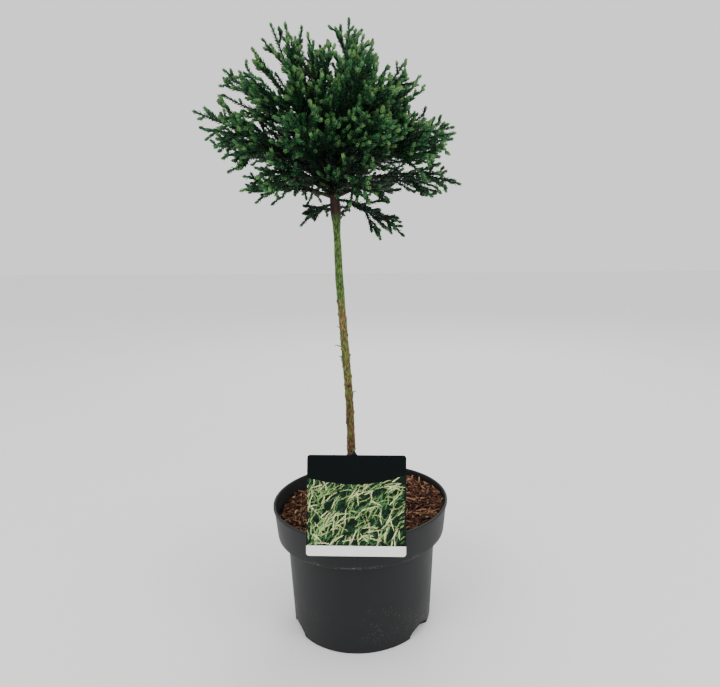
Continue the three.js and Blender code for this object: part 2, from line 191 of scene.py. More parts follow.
def linked_object(name, mesh, material):
    """An object of a finished mesh, in the scene."""
    mesh.materials.append(material)
    made = bpy.data.objects.new(name, mesh)
    bpy.context.scene.collection.objects.link(made)
    return made


def mesh_object(name, points, faces, material, smooth=True):
    """An object from an array of points in millimetres and an array of faces with one corner count."""
    mesh = bpy.data.meshes.new(name)
    mesh.vertices.add(len(points))
    mesh.vertices.foreach_set("co", (np.asarray(points) * MM).astype(np.float32).ravel())
    corners = np.asarray(faces, dtype=np.int32)
    mesh.loops.add(corners.size)
    mesh.loops.foreach_set("vertex_index", corners.ravel())
    mesh.polygons.add(len(corners))
    mesh.polygons.foreach_set("loop_start", np.arange(0, corners.size, corners.shape[1], dtype=np.int32))
    mesh.update(calc_edges=True)
    mesh.validate()
    mesh.polygons.foreach_set("use_smooth", np.full(len(corners), smooth))
    return linked_object(name, mesh, material)


def closed_body(name, points, faces, material):
    """An object from points in millimetres and faces of any corner count, all turned outwards."""
    mesh = bpy.data.meshes.new(name)
    mesh.from_pydata((np.asarray(points) * MM).tolist(), [], faces)
    mesh.validate()
    shell = bmesh.new()
    shell.from_mesh(mesh)
    bmesh.ops.recalc_face_normals(shell, faces=shell.faces)
    shell.to_mesh(mesh)
    shell.free()
    return linked_object(name, mesh, material)


def cut(made, tool):
    """Takes the tool's volume out of an object and deletes the tool."""
    modifier = made.modifiers.new("cut", "BOOLEAN")
    modifier.operation = "DIFFERENCE"
    modifier.solver = "EXACT"
    modifier.object = tool
    graph = bpy.context.evaluated_depsgraph_get()
    mesh = bpy.data.meshes.new_from_object(made.evaluated_get(graph))
    made.modifiers.clear()
    made.data = mesh
    bpy.data.objects.remove(tool)


def lathe_object(name, profile, sides, material):
    """A closed body turned round the Z axis from radius and height pairs; radius 0 closes it on the axis."""
    turn = np.linspace(0, 2 * np.pi, sides, endpoint=False)
    points, rings = [], []
    for radius, height in profile:
        start = len(points)
        if radius == 0:
            points.append((0, 0, height))
            rings.append([start] * sides)
        else:
            points.extend(zip(radius * np.cos(turn), radius * np.sin(turn), np.full(sides, height)))
            rings.append(list(range(start, start + sides)))
    faces = []
    for low, high in zip(rings[:-1], rings[1:]):
        for k in range(sides):
            n = (k + 1) % sides
            corners = [low[k], low[n], high[n], high[k]]
            faces.append([c for i, c in enumerate(corners) if c != corners[i - 1]])
    return closed_body(name, points, faces, material)


def wall(rings, sides):
    """Triangles between closed rings of points that follow one another."""
    k = np.arange(sides)
    n = (k + 1) % sides
    lower = np.stack([k, n, sides + n], axis=1)
    upper = np.stack([k, sides + n, sides + k], axis=1)
    starts = np.arange(rings - 1)[:, None, None, None] * sides
    return (np.stack([lower, upper]) + starts).reshape(-1, 3)


def fan(start, sides, tip):
    """Triangles from a closed ring of points, given by its first one, to a tip."""
    k = np.arange(sides)
    return np.stack([start + k, start + (k + 1) % sides, np.full(sides, tip)], axis=1)


def repeated(faces, count, step):
    """The same faces for each of many bodies of so many points."""
    return (faces[None] + np.arange(count)[:, None, None] * step).reshape(-1, 3)


def tubes(paths, radii, sides):
    """Points and triangles of many pointed tubes: paths are (tube, ring, xyz), radii (tube, ring)."""
    count, rings, _ = paths.shape
    along = unit(np.gradient(paths, axis=1))
    skin = paths[:, :, None] + all_round(along, sideways(along), sides) * radii[:, :, None, None]
    tip = paths[:, -1:] + along[:, -1:] * radii[:, -1:, None]
    points = np.concatenate([skin.reshape(count, rings * sides, 3), tip], axis=1)
    faces = np.vstack([wall(rings, sides), fan((rings - 1) * sides, sides, rings * sides)])
    return points.reshape(-1, 3), repeated(faces, count, rings * sides + 1)


def flat_strips(paths, across, widths, thickness):
    """Points and triangles of flat strips: paths and across are (strip, ring, xyz), widths (strip, ring)."""
    count, rings, _ = paths.shape
    along = unit(np.gradient(paths, axis=1))
    across = unit(across - along * (across * along).sum(2, keepdims=True))
    up = np.cross(along, across) * (thickness / 2)[:, None, None]
    wide = across * widths[:, :, None] / 2
    edges = [paths - wide - up, paths + wide - up, paths + wide + up, paths - wide + up]
    sides = len(edges)
    last = (rings - 1) * sides
    caps = [(0, 2, 1), (0, 3, 2), (last, last + 1, last + 2), (last, last + 2, last + 3)]
    faces = np.vstack([wall(rings, sides), caps])
    return np.stack(edges, axis=2).reshape(-1, 3), repeated(faces, count, rings * sides)


def closed_tube(name, skin, material):
    """A closed mesh from a skin of points given as (ring, side, xyz), with a fan over each end."""
    rings, sides, _ = skin.shape
    middle = rings * sides
    points = np.vstack([skin.reshape(-1, 3), skin[0].mean(0), skin[-1].mean(0)])
    faces = [fan(0, sides, middle)[:, ::-1], wall(rings, sides), fan(middle - sides, sides, middle + 1)]
    return mesh_object(name, points, np.concatenate(faces), material)


def smooth_noise(shape, cells, seed):
    """A smooth random field from -1 to 1 with so many cells along each axis; it closes along the first."""
    rng = np.random.default_rng(seed)
    grid = rng.uniform(-1, 1, (cells[0], cells[1] + 2))
    u = np.arange(shape[0]) / shape[0] * cells[0]
    v = np.linspace(0, cells[1], shape[1])
    iu, iv = u.astype(int), v.astype(int)
    fu, fv = u - iu, v - iv
    fu, fv = fu * fu * (3 - 2 * fu), fv * fv * (3 - 2 * fv)
    low, high = grid[iu % cells[0]], grid[(iu + 1) % cells[0]]
    near = low[:, iv] * (1 - fv) + low[:, iv + 1] * fv
    far = high[:, iv] * (1 - fv) + high[:, iv + 1] * fv
    return near * (1 - fu)[:, None] + far * fu[:, None]


# ---- where the stem, boughs and sprays run -----------------------------------------------------------

MULCH_LEVEL = 150
STEM_LINE = np.array([
    (-11, 0, MULCH_LEVEL + CLEARANCE),
    (-11.5, 0, 190),
    (-13, 1, 290),
    (-18, 2, 375),
    (-23, 2, 460),
    (-25, 2, 530),
    (-28, 1, 575),
    (-29, 0, 622),
])
STEM_STEPS = 20
STEM_EVENNESS = 0.35
STEM_FOOT_RADIUS = 11.5
STEM_RADIUS = 5.6
STEM_TOP_RADIUS = 4.4
FLARE_HEIGHT = 16
GRAFT_HEIGHT, GRAFT_SWELL, GRAFT_REACH = 541, 2, 16

CROWN_HEART = np.array((-22, 0, 590))
CROWN_HALF = np.array((160, 137, 155))
# each tier: name, height where its limbs leave the stem, step up and down from it, length of its boughs,
# and for each spray its azimuth, climb and reach from the heart
TIERS = (
    ("skirt", 548, 3, 0, ((192, -57, 84), (352, -46, 116), (95, -50, 84))),
    ("lower", 559, 5, 34, (
        (178, -13, 123), (232, -10, 128), (290, -13, 128), (358, -8, 153), (55, -12, 122), (118, -10, 130),
    )),
    ("middle", 578, 6, 36, (
        (184, 20, 178), (212, 11, 158), (256, 14, 150), (296, 12, 148),
        (330, 10, 158), (5, 19, 154), (62, 14, 152), (124, 15, 154),
    )),
    ("upper", 599, 5, 30, (
        (174, 40, 180), (232, 41, 164), (292, 40, 160), (350, 43, 134), (38, 52, 180), (112, 41, 162),
    )),
    ("crest", 614, 3, 0, ((165, 65, 187), (250, 64, 149), (335, 83, 170), (66, 66, 190))),
)
BOUGH_FOOT_RADIUS, BOUGH_TIP_RADIUS = 2.5, 1.9
LIFT_TO_RISE, LIFT_SHARE = 45, 0.35  # limbs start turned by this share towards this rise
LIMB_SETBACK = 3
BOUGH_STEPS = 3
SPRAY_STEPS = 3
SPRAY_BOW = 0.45  # how far along a spray its first direction holds
SHOOT_COUNT, SHOOT_FROM, SHOOT_OVER, SHOOT_RATIO = 8, 0.1, 0.84, 0.72
SHOOT_TAPER, SHOOT_JITTER, SHOOT_TURN = 1.1, 0.6, 0.7
FORK_FROM, FORK_JITTER, FORK_RATIO, FORK_TAPER = 0.3, 0.12, 0.8, 1.15
LENGTH_SPREAD = (0.8, 1.2)
SHORTER = (1, 0.8, 0.62, 0.46)  # the shares of its full length that a shoot is tried at
# how a shoot leaves its carrier: angle in radians, share of its length before the bend, and how much it
# turns there along the carrier's way, upwards, and away from the crown's heart
MAIN_HABIT = (0.72, 0.6, 0.35, 0.16, 0)
ROOM_CHECKS = (0.3, 0.5, 0.75, 1)  # the places along a shoot that are checked for room
SHORTEST_SHOOT = 11
GOLDEN_ANGLE = math.pi * (3 - math.sqrt(5))
# the room that a shoot needs: its radius, how far it may lean into a neighbour's space, and how much less
# far it reaches for each radian off its spray's own direction
MAIN_ROOM = (2.9, 0, 0.6)
# a round gap through which the sky shows: a place on its axis, the axis and its radius
SKY_GAPS = ((np.array((-88, 0, 688)), np.array((-0.174, 1, 0.233)), 8),)
WORD = 0xFFFFFFFF


def seeded(seed):
    """Repeatable random numbers between 0 and 1, the same ones that the solids were grown with."""
    state = seed & WORD

    def draw():
        nonlocal state
        state = (state + 0x6D2B79F5) & WORD
        t = state
        t = ((t ^ (t >> 15)) * (t | 1)) & WORD
        t ^= (t + ((t ^ (t >> 7)) * (t | 61))) & WORD
        return (t ^ (t >> 14)) / 4294967296

    return draw


def through(points, share):
    """A point on the centripetal curve through some points, at a share of the way."""
    spans = len(points) - 1
    i = min(int(share * spans), spans - 1)
    w = share * spans - i
    p1, p2 = points[i], points[i + 1]
    p0 = points[i - 1] if i > 0 else 2 * points[0] - points[1]
    p3 = points[i + 2] if i + 2 <= spans else 2 * points[-1] - points[-2]
    d0, d1, d2 = (np.linalg.norm(b - a) ** 0.5 for a, b in ((p0, p1), (p1, p2), (p2, p3)))
    t1 = ((p1 - p0) / d0 - (p2 - p0) / (d0 + d1) + (p2 - p1) / d1) * d1
    t2 = ((p2 - p1) / d1 - (p3 - p1) / (d1 + d2) + (p3 - p2) / d2) * d1
    return p1 + t1 * w + (3 * (p2 - p1) - 2 * t1 - t2) * w**2 + (2 * (p1 - p2) + t1 + t2) * w**3


def curve_through(points, shares):
    """The points on that curve at each of these shares of the way."""
    return np.array([through(points, share) for share in shares])


def stem_radius(height):
    """The stem's radius, with its taper, the flare at its foot and the swelling of the graft."""
    above = height - MULCH_LEVEL
    taper = lerp(STEM_RADIUS, STEM_TOP_RADIUS, above / (STEM_LINE[-1][2] - MULCH_LEVEL))
    flare = (STEM_FOOT_RADIUS - STEM_RADIUS) * np.exp(-above / FLARE_HEIGHT)
    graft = GRAFT_SWELL * np.exp(-(((height - GRAFT_HEIGHT) / GRAFT_REACH) ** 2))
    return taper + flare + graft


def stem_points():
    """Points along the stem, closer together low down."""
    evens = [i / STEM_STEPS for i in range(STEM_STEPS + 1)]
    return curve_through(STEM_LINE, [e * lerp(STEM_EVENNESS, 1, e) for e in evens])


STEM_POINTS = stem_points()


def stem_centre(height):
    """The middle of the stem at a height."""
    return np.array([np.interp(height, STEM_POINTS[:, 2], STEM_POINTS[:, i]) for i in range(2)] + [height])


def bearing(azimuth, climb):
    """The direction with this azimuth and climb in degrees."""
    a, c = math.radians(azimuth), math.radians(climb)
    return np.array((math.cos(c) * math.cos(a), math.cos(c) * math.sin(a), math.sin(c)))


def plan_sprays():
    """The bough, first direction and stem line of every spray of foliage."""
    plans = []
    for tier, leaves, step, reach_out, sprays in TIERS:
        for i, (azimuth, climb, reach) in enumerate(sprays):
            tip = CROWN_HEART + bearing(azimuth, climb) * reach
            height = leaves + step * (-1 if i % 2 == 0 else 1)
            foot = stem_centre(height) + bearing(azimuth, 0) * LIMB_SETBACK
            level = math.degrees(math.atan2(tip[2] - foot[2], math.hypot(*(tip - foot)[:2])))
            way = bearing(azimuth, level + LIFT_SHARE * (LIFT_TO_RISE - level))
            bough, start = [], foot
            if reach_out:
                bough = [foot + way * reach_out * k / BOUGH_STEPS for k in range(BOUGH_STEPS + 1)]
                start = bough[-1] + way * CLEARANCE
            length = np.linalg.norm(tip - start)
            middle = start + way * length * SPRAY_BOW
            plans.append({
                "name": f"{tier}_{i + 1}",
                "bough": np.array(bough),
                "way": way,
                "line": np.array([
                    curve(start, middle, tip, k / SPRAY_STEPS) for k in range(SPRAY_STEPS + 1)]),
                "away": tip - CROWN_HEART,
                "length": length,
            })
    return plans


PLANS = plan_sprays()
SPRAY_LINES = np.array([plan["line"] for plan in PLANS])
BOUGH_LINES = np.array([plan["bough"] for plan in PLANS if len(plan["bough"])])


def distance_to_lines(point, lines):
    """How far a point is from each line of an array of (line, point, xyz)."""
    start, run = lines[:, :-1], lines[:, 1:] - lines[:, :-1]
    share = np.clip(((point - start) * run).sum(-1) / (run * run).sum(-1), 0, 1)
    return np.linalg.norm(start + run * share[..., None] - point, axis=-1).min(axis=1)


def has_room(point, own, room):
    """Whether a ball keeps to its spray's space, off the limbs and out of the sky gaps."""
    radius, slack, pointedness = room
    off, ahead = point - CROWN_HEART, PLANS[own]["away"]
    far, reach = np.linalg.norm(off), np.linalg.norm(ahead)
    angle = math.acos(np.clip(np.dot(off, ahead) / (far * reach), -1, 1))
    if far + radius > reach * (1 - pointedness * angle):
        return False
    away = distance_to_lines(point, SPRAY_LINES)
    mine = away[own]
    away[own] = np.inf
    if (away.min() - mine) / 2 < radius + CLEARANCE - slack:
        return False
    if distance_to_lines(point, BOUGH_LINES).min() < BOUGH_FOOT_RADIUS + CLEARANCE + radius - slack:
        return False
    if distance_to_lines(point, STEM_POINTS[None])[0] < stem_radius(point[2]) + CLEARANCE + radius - slack:
        return False
    for at, along, gap in SKY_GAPS:
        off = point - at
        if np.linalg.norm(off - unit(along) * np.dot(off, unit(along))) <= gap:
            return False
    return True


def line_at(line, share):
    """The point at a share of a line's length, on its straight stretches."""
    place = min(share * (len(line) - 1), len(line) - 1.001)
    i = int(place)
    return lerp(line[i], line[i + 1], place - i)


def line_way(line, share):
    """The direction of a line at a share of its length."""
    i = min(int(share * (len(line) - 1)), len(line) - 2)
    return unit(line[i + 1] - line[i])


def shoot_line(carrier, share, roll, length, habit):
    """A shoot leaves its carrier at an acute angle, then turns as its habit says."""
    spread, bend_share, along, upward, outward = habit
    root, way = line_at(carrier, share), line_way(carrier, share)
    out = turned(sideways(way), way, roll)
    first = way * math.cos(spread) + out * math.sin(spread)
    second = unit(first + way * along + UPWARD * upward + unit(root - CROWN_HEART) * outward)
    middle = root + first * length * bend_share
    return np.array([root, middle, middle + second * length * (1 - bend_share)])


def fitting_shoot(
    carrier, share, roll, length, own, habit=MAIN_HABIT, room=MAIN_ROOM, shortest=SHORTEST_SHOOT
):
    """The longest of a few lengths at which a shoot keeps to its spray's space."""
    for shorter in SHORTER:
        if length * shorter < shortest:
            return None
        line = shoot_line(carrier, share, roll, length * shorter, habit)
        if all(has_room(line_at(line, at), own, room) for at in ROOM_CHECKS):
            return line
    return None


def grow_shoots(own):
    """The side shoots of one spray and their forks, exactly as the solids have them."""
    plan, draw, shoots = PLANS[own], seeded(own + 1), []
    for k in range(SHOOT_COUNT):
        share = SHOOT_FROM + SHOOT_OVER * (k + SHOOT_JITTER * draw()) / SHOOT_COUNT
        roll = k * GOLDEN_ANGLE + SHOOT_TURN * draw()
        varied = lerp(*LENGTH_SPREAD, draw())
        length = plan["length"] * SHOOT_RATIO * (SHOOT_TAPER - share) * varied
        fork_share = FORK_FROM + FORK_JITTER * draw()
        fork_roll = 2 * math.pi * draw()
        shoot = fitting_shoot(plan["line"], share, roll, length, own)
        if shoot is None:
            continue
        shoots.append(shoot)
        fork_length = length * FORK_RATIO * (FORK_TAPER - fork_share)
        fork = fitting_shoot(shoot, fork_share, fork_roll, fork_length, own)
        if fork is not None:
            shoots.append(fork)
    return shoots


# ---- the crown's finer growth ------------------------------------------------------------------------

LIMB_RINGS, FINE_RINGS = 9, 6
LIMB_SIDES, FINE_SIDES = 6, 3
STEM_WOOD, SHOOT_WOOD, FINE_WOOD, TIP_WOOD = 2.0, 1.6, 1.3, 0.9  # radii of the wood at its root and tip
FINE_FROM, FINE_TO = 0.04, 0.86
FINE_FEWEST = 2
FINE_PLACE = (0.1, 0.9)  # where in its stretch of the carrier a finer shoot starts
FINE_LONG, FINE_SHORT = 74, 32
FINE_OF_CARRIER = 0.7  # a finer shoot is at most this share of what carries it
FINE_VARIED = (0.7, 1.2)
FINE_SHORTEST = 15
FINE_ROLL_JITTER = 0.9
FINE_ROOM = (2.4, 9)
FINE_POINTEDNESS = (0.32, 1.0)  # drawn for each finer shoot, so that some stand out of the rest
FINE_HABIT = (0.55, 0.4, 0.75, 0.08, 0.3)
DROOPING_HABIT, DROOPING_TIERS = (0.5, 0.5, 0.9, -0.22, 0.2), ("skirt", "lower")
FINE_THINNED = {"skirt": 5.5, "lower": 2.3, "middle": 1.2}  # tiers with fewer finer shoots for their length
# the crown is open at its edge: beyond this share of a spray's reach ever more finer shoots are left out
OPEN_FROM, OPEN_RISE, OPEN_MOST = 0.36, 2.0, 0.86
BOUGH_FINE = 48  # longest finer shoot straight from a bough
BOUGH_BARE = 0.1  # share of a bough that has no needles
HEART_FROM, HEART_TO = 553, 621  # heights between which the stem itself carries finer shoots
HEART_SHOOTS, HEART_LENGTH, HEART_PROBE = 90, (30, 62), 25
HEART_HABIT = (1.0, 0.5, 0.3, 0.1, 0.4)
BUDS, BUD_OF, BUD_ROOM = 2, 22, (0.66, 0.94)  # on shoots at least this long, between these shares
BUD_LENGTH, BUD_SHORTEST = (7, 11), 6
BUD_PLACE_STRAY, BUD_ROLL_STRAY = 0.06, 0.6
WAVER = 0.8  # how far a shoot strays from its line
WAVER_FULL = 40  # length at which it strays so far


def grow_fine(carrier, own, habit, spacing, longest, rng):
    """Finer shoots all round a carrier, shorter towards its tip, within the same space."""
    count = max(FINE_FEWEST, round(run_of(carrier).sum() * (FINE_TO - FINE_FROM) / spacing))
    shoots = []
    for k in range(count):
        share = lerp(FINE_FROM, FINE_TO, (k + rng.uniform(*FINE_PLACE)) / count)
        roll = k * GOLDEN_ANGLE + rng.uniform(-FINE_ROLL_JITTER, FINE_ROLL_JITTER)
        length = min(lerp(FINE_LONG, FINE_SHORT, share), longest) * rng.uniform(*FINE_VARIED)
        reached = np.linalg.norm(line_at(carrier, share) - CROWN_HEART) / np.linalg.norm(PLANS[own]["away"])
        if rng.random() < min(OPEN_MOST, (reached - OPEN_FROM) * OPEN_RISE):
            continue
        room = (*FINE_ROOM, rng.uniform(*FINE_POINTEDNESS))
        shoots.append(fitting_shoot(carrier, share, roll, length, own, habit, room, FINE_SHORTEST))
    return [shoot for shoot in shoots if shoot is not None]


def grow_heart(rng):
    """Finer shoots straight from the stem inside the crown, each in the space of the spray nearest to it."""
    carrier = np.array([stem_centre(height) for height in np.linspace(HEART_FROM, HEART_TO, 4)])
    room = (*FINE_ROOM, FINE_POINTEDNESS[0])
    shoots = []
    for k in range(HEART_SHOOTS):
        share, roll = (k + 0.5) / HEART_SHOOTS, k * GOLDEN_ANGLE
        length = rng.uniform(*HEART_LENGTH)
        probe = shoot_line(carrier, share, roll, HEART_PROBE, HEART_HABIT)[-1]
        own = int(distance_to_lines(probe, SPRAY_LINES).argmin())
        shoots.append(fitting_shoot(carrier, share, roll, length, own, HEART_HABIT, room, FINE_SHORTEST))
    return [shoot for shoot in shoots if shoot is not None]


def grow_buds(carrier, own, rng):
    """Short blunt side shoots just below the end of a long shoot."""
    if np.linalg.norm(carrier[-1] - carrier[0]) < BUD_OF:
        return []
    places = np.linspace(*BUD_ROOM, BUDS) + rng.uniform(-BUD_PLACE_STRAY, BUD_PLACE_STRAY, BUDS)
    first = rng.uniform(0, 2 * math.pi)
    rolls = first + np.arange(BUDS) * math.pi + rng.uniform(-BUD_ROLL_STRAY, BUD_ROLL_STRAY, BUDS)
    lengths = rng.uniform(*BUD_LENGTH, BUDS)
    room = (*FINE_ROOM, FINE_POINTEDNESS[0])
    buds = [
        fitting_shoot(carrier, *bud, own, MAIN_HABIT, room, BUD_SHORTEST)
        for bud in zip(places, rolls, lengths)
    ]
    return [bud for bud in buds if bud is not None]


def wavering(line, rings, rng):
    """A shoot's line as evenly spread points on a curve through its bends, straying a little."""
    smooth = curve_through(line, np.linspace(0, 1, rings))
    stray = np.vstack([np.zeros(3), rng.normal(0, WAVER, (2, 3))])
    share = min(1, np.linalg.norm(line[-1] - line[0]) / WAVER_FULL)
    places = np.linspace(0, 2, rings)
    return smooth + share * np.stack([np.interp(places, (0, 1, 2), stray[:, i]) for i in range(3)], axis=1)


@cache
def grow_crown(spacing, seed):
    """Lines of the boughs' clad ends, the main shoots and the finer ones, with their wood's root radius."""
    rng = np.random.default_rng(seed)
    boughs, limbs, fine = [], [], []
    for own, plan in enumerate(PLANS):
        carriers = [(plan["line"], STEM_WOOD)] + [(shoot, SHOOT_WOOD) for shoot in grow_shoots(own)]
        if len(plan["bough"]):
            clad = curve_through(plan["bough"], np.linspace(BOUGH_BARE, 1, 3))
            carriers.append((clad, BOUGH_TIP_RADIUS))
        tier = plan["name"].split("_")[0]
        habit = DROOPING_HABIT if tier in DROOPING_TIERS else FINE_HABIT
        thinned = spacing * FINE_THINNED.get(tier, 1)
        for carrier, wood in carriers:
            if wood == BOUGH_TIP_RADIUS:
                boughs.append((carrier, wood))
                longest = BOUGH_FINE
            else:
                limbs.append((wavering(carrier, LIMB_RINGS, rng), wood))
                longest = run_of(carrier).sum() * FINE_OF_CARRIER
            finer = grow_fine(carrier, own, habit, thinned, longest, rng)
            buds = [bud for shoot in [carrier, *finer] for bud in grow_buds(shoot, own, rng)]
            fine.extend((wavering(line, FINE_RINGS, rng), FINE_WOOD) for line in finer + buds)
    fine.extend((wavering(line, FINE_RINGS, rng), FINE_WOOD) for line in grow_heart(rng))
    return boughs, limbs, fine


# ---- needles -------------------------------------------------------------------------------------------

# needles lean this far out from their shoot, in radians: in the bud, on new wood and on aged wood
NEEDLE_TILT_BUD, NEEDLE_TILT_NEW, NEEDLE_TILT_AGED = 0.38, 0.5, 0.78
NEEDLE_TILT_STRAY = 0.09
AGED_FROM_TIP, AGED_LONGER, BUD_SHORTER = 30, 1.3, 0.62
NEEDLE_VARIED = (0.85, 1.15)
NEEDLE_ROOT = 0.35  # how far from a shoot's middle its needles start
NEEDLE_WAIST, NEEDLE_NARROWER = 0.5, 0.85  # where an awl has its middle section, and how wide it is there
NEEDLE_BULGE, NEEDLE_HOOK = 0.05, 0.1  # how far an awl stands out at its middle and curves in at its tip
BUD_ZONE, BUD_NEEDLES = 4.5, 11
BARE_FOOT, BARE_FOOT_SHARE, BARE_TIP = 4, 0.2, 0.4  # stretches of a shoot that have no needles
WAY_REACH = 0.5  # distance either way over which a shoot's direction is measured
NEEDLE_SHADES = ("inner", "dark", "leaf", "lively", "fresh")
LEAF, LIVELY, FRESH = 2, 3, 4
# a needle is greener the further out its shoot ends, in halves of the crown, and the nearer it is to its
# tip: the darker greens deep in the crown are painted shade, and those further back along a shoot are partly
# older needles and partly painted shade
SHADE_START, SHADE_OUTWARDS, SHADE_FADE = -0.85, 2.6, 60
SHOOT_STRAY, NEEDLE_STRAY = 0.35, 0.3
# the last millimetres of outer shoots are fresh, more of them higher up, and lively behind that
FRESH_REACH, FRESH_DRAWN, FRESH_UPWARDS, LIVELY_REACH = 6, (-0.8, 0.9), 0.5, 5
FRESH_BEYOND = (0.42, 0.62)
FRESH_EDGE_STRAY = 0.8
NEEDLE_FACES = np.array([
    (0, 1, 4), (0, 4, 3), (1, 2, 5), (1, 5, 4), (2, 0, 3), (2, 3, 5), (3, 4, 6), (4, 5, 6), (5, 3, 6),
])
NEEDLES_A_PIECE = 21000


def needles_along(line, settings, rng):
    """Corners of a shoot's needles, in the order of NEEDLE_FACES, and how far each is from the tip."""
    long, pitch, half = (v / MM for v in (settings.length, settings.pitch, settings.width / 2))
    reach = np.concatenate([[0], np.cumsum(run_of(line))])
    total = reach[-1]
    bare = min(BARE_FOOT, total * BARE_FOOT_SHARE)
    bud = max(total - BUD_ZONE, bare)
    place = np.concatenate([np.arange(bare, bud, pitch), np.linspace(bud, total - BARE_TIP, BUD_NEEDLES)])
    left = total - place
    at, behind, ahead = (
        np.stack([np.interp(place + step, reach, line[:, i]) for i in range(3)], axis=1)
        for step in (0, -WAY_REACH, WAY_REACH)
    )
    way = unit(ahead - behind)
    turn = np.arange(len(place))[:, None] * GOLDEN_ANGLE + rng.uniform(0, 2 * math.pi)
    side = sideways(way)
    radial = side * np.cos(turn) + np.cross(way, side) * np.sin(turn)
    grown = np.clip(left / BUD_ZONE, 0, 1)[:, None]
    aged = np.clip(left / AGED_FROM_TIP, 0, 1)[:, None]
    tilt = lerp(NEEDLE_TILT_BUD, lerp(NEEDLE_TILT_NEW, NEEDLE_TILT_AGED, aged), grown)
    tilt = tilt + rng.normal(0, NEEDLE_TILT_STRAY, tilt.shape)
    ripe = lerp(1, AGED_LONGER, aged)
    length = long * lerp(BUD_SHORTER, ripe, grown) * rng.uniform(*NEEDLE_VARIED, tilt.shape)
    lean = way * np.cos(tilt) + radial * np.sin(tilt)
    ridge = (radial * np.cos(tilt) - way * np.sin(tilt)) * half
    across = np.cross(way, radial) * half
    base = at + radial * NEEDLE_ROOT
    middle = base + lean * length * NEEDLE_WAIST + radial * length * NEEDLE_BULGE
    tip = base + lean * length - radial * length * NEEDLE_HOOK
    ring = (-across, ridge, across)
    corners = [base + r for r in ring] + [middle + r * NEEDLE_NARROWER for r in ring] + [tip]
    return np.stack(corners, axis=1), left


def grow_needles(lines, settings):
    """Every needle's corners, and the shade that its shoot gives it: its place in NEEDLE_SHADES, darker deep
    in the crown as painted shade.
    """
    rng = np.random.default_rng(settings.seed)
    points, shades = [], []
    for line in lines:
        corners, left = needles_along(line, settings, rng)
        out = np.linalg.norm((line[-1] - CROWN_HEART) / CROWN_HALF)
        # painted shade: shoots that end nearer the crown's heart, and needles further from a shoot's tip,
        # get darker greens
        depth = SHADE_START + SHADE_OUTWARDS * out - left / SHADE_FADE + rng.normal(0, SHOOT_STRAY)
        shade = np.clip(np.round(depth + rng.normal(0, NEEDLE_STRAY, len(left))), 0, LEAF)
        upward = (line[-1, 2] - CROWN_HEART[2]) / CROWN_HALF[2]
        fresh = FRESH_REACH * (rng.uniform(*FRESH_DRAWN) + FRESH_UPWARDS * upward)
        left = left + rng.normal(0, FRESH_EDGE_STRAY, len(left))
        if out > rng.uniform(*FRESH_BEYOND):
            shade = np.select((left < fresh, left < fresh + LIVELY_REACH), (FRESH, LIVELY), shade)
        points.append(corners)
        shades.append(shade.astype(int))
    return np.concatenate(points), np.concatenate(shades)


# ---- settings a user would change ---------------------------------------------------------------------


def colour_setting(name, description, code):
    """A colour for a settings group, given as a hex code."""
    return FloatVectorProperty(name=name, description=description, subtype="COLOR", default=linear(code))


def length_setting(name, description, millimetres):
    """A length for a settings group, given in millimetres."""
    return FloatProperty(name=name, description=description, default=millimetres * MM, unit="LENGTH")


class NeedleSettings(bpy.types.PropertyGroup):
    """Size, closeness and greens of the needles."""

    length: length_setting("Length", "Length of a full-grown needle", 4.4)
    width: length_setting("Width", "Width of a needle at its root", 1.8)
    pitch: length_setting("Pitch", "Length of shoot for each needle", 0.95)
    spacing: length_setting("Fine shoot spacing", "Length of shoot for each finer shoot", 5.3)
    seed: IntProperty(name="Seed", description="Chooses another set of finer shoots", default=7)
    # the inner green is painted shade deep in the crown; the dark green is partly older needles and partly
    # painted shade
    inner: colour_setting("Inner green", "Needles deep in the crown", "#061d0e")
    dark: colour_setting("Dark green", "Older needles", "#0c381b")
    leaf: colour_setting("Leaf green", "Needles of the outer shoots", "#1e532e")
    lively: colour_setting("Lively green", "Needles just behind the new growth", "#316437")
    fresh: colour_setting("Fresh green", "New growth at the shoot tips", "#5f894d")


class StemSettings(bpy.types.PropertyGroup):
    """Relief and colours of the bark."""

    relief: length_setting("Bark relief", "Height of the ridges low on the stem", 0.7)
    nubs: IntProperty(
        name="Nubs", description="Stumps of old needles and twigs on the lower stem", default=130)
    green: colour_setting("Green bark", "Smooth bark of the upper stem", "#4a6729")
    olive: colour_setting("Olive bark", "Greenish bark low on the stem", "#585d29")
    brown: colour_setting("Brown bark", "Older bark low on the stem", "#5c4126")
    # the rusty bark gives the red-brown flecks low down and the dark bark under the crown, which is partly
    # painted shade of the crown
    rust_and_shade: colour_setting("Rusty bark", "Red-brown flecks and the bark under the crown", "#2d1611")


class PotSettings(bpy.types.PropertyGroup):
    """Colours of the pot and of what fills it."""

    plastic: colour_setting("Pot plastic", "Anthracite of the moulded pot", "#151618")
    dust: colour_setting("Dust", "Specks of dried splash on the pot", "#6f6e68")
    shreds: IntProperty(
        name="Bark shreds", description="How many loose shreds lie on the mulch", default=3900)
    bark: colour_setting("Mulch", "Main colour of the bark mulch", "#4a2c1f")
    sapwood: colour_setting("Pale shreds", "Shreds of the wood under the bark", "#876549")


class LabelSettings(bpy.types.PropertyGroup):
    """Colours of the label card."""

    band: colour_setting("Band", "Dark band along the card's top", "#000608")
    field: colour_setting("Field", "Ground behind the printed sprigs", "#08190f")
    behind: colour_setting("Sprigs behind", "Darkest printed sprigs", "#1d3c28")
    between: colour_setting("Sprigs between", "Middle green of the printed sprigs", "#4a7546")
    before: colour_setting("Sprigs before", "Pale green of the printed sprigs", "#97b26c")
    lit: colour_setting("Sprigs lit", "Palest printed sprigs", "#dfe8a8")
    strip: colour_setting("Strip", "Blank strip along the card's foot", "#f1f2f0")


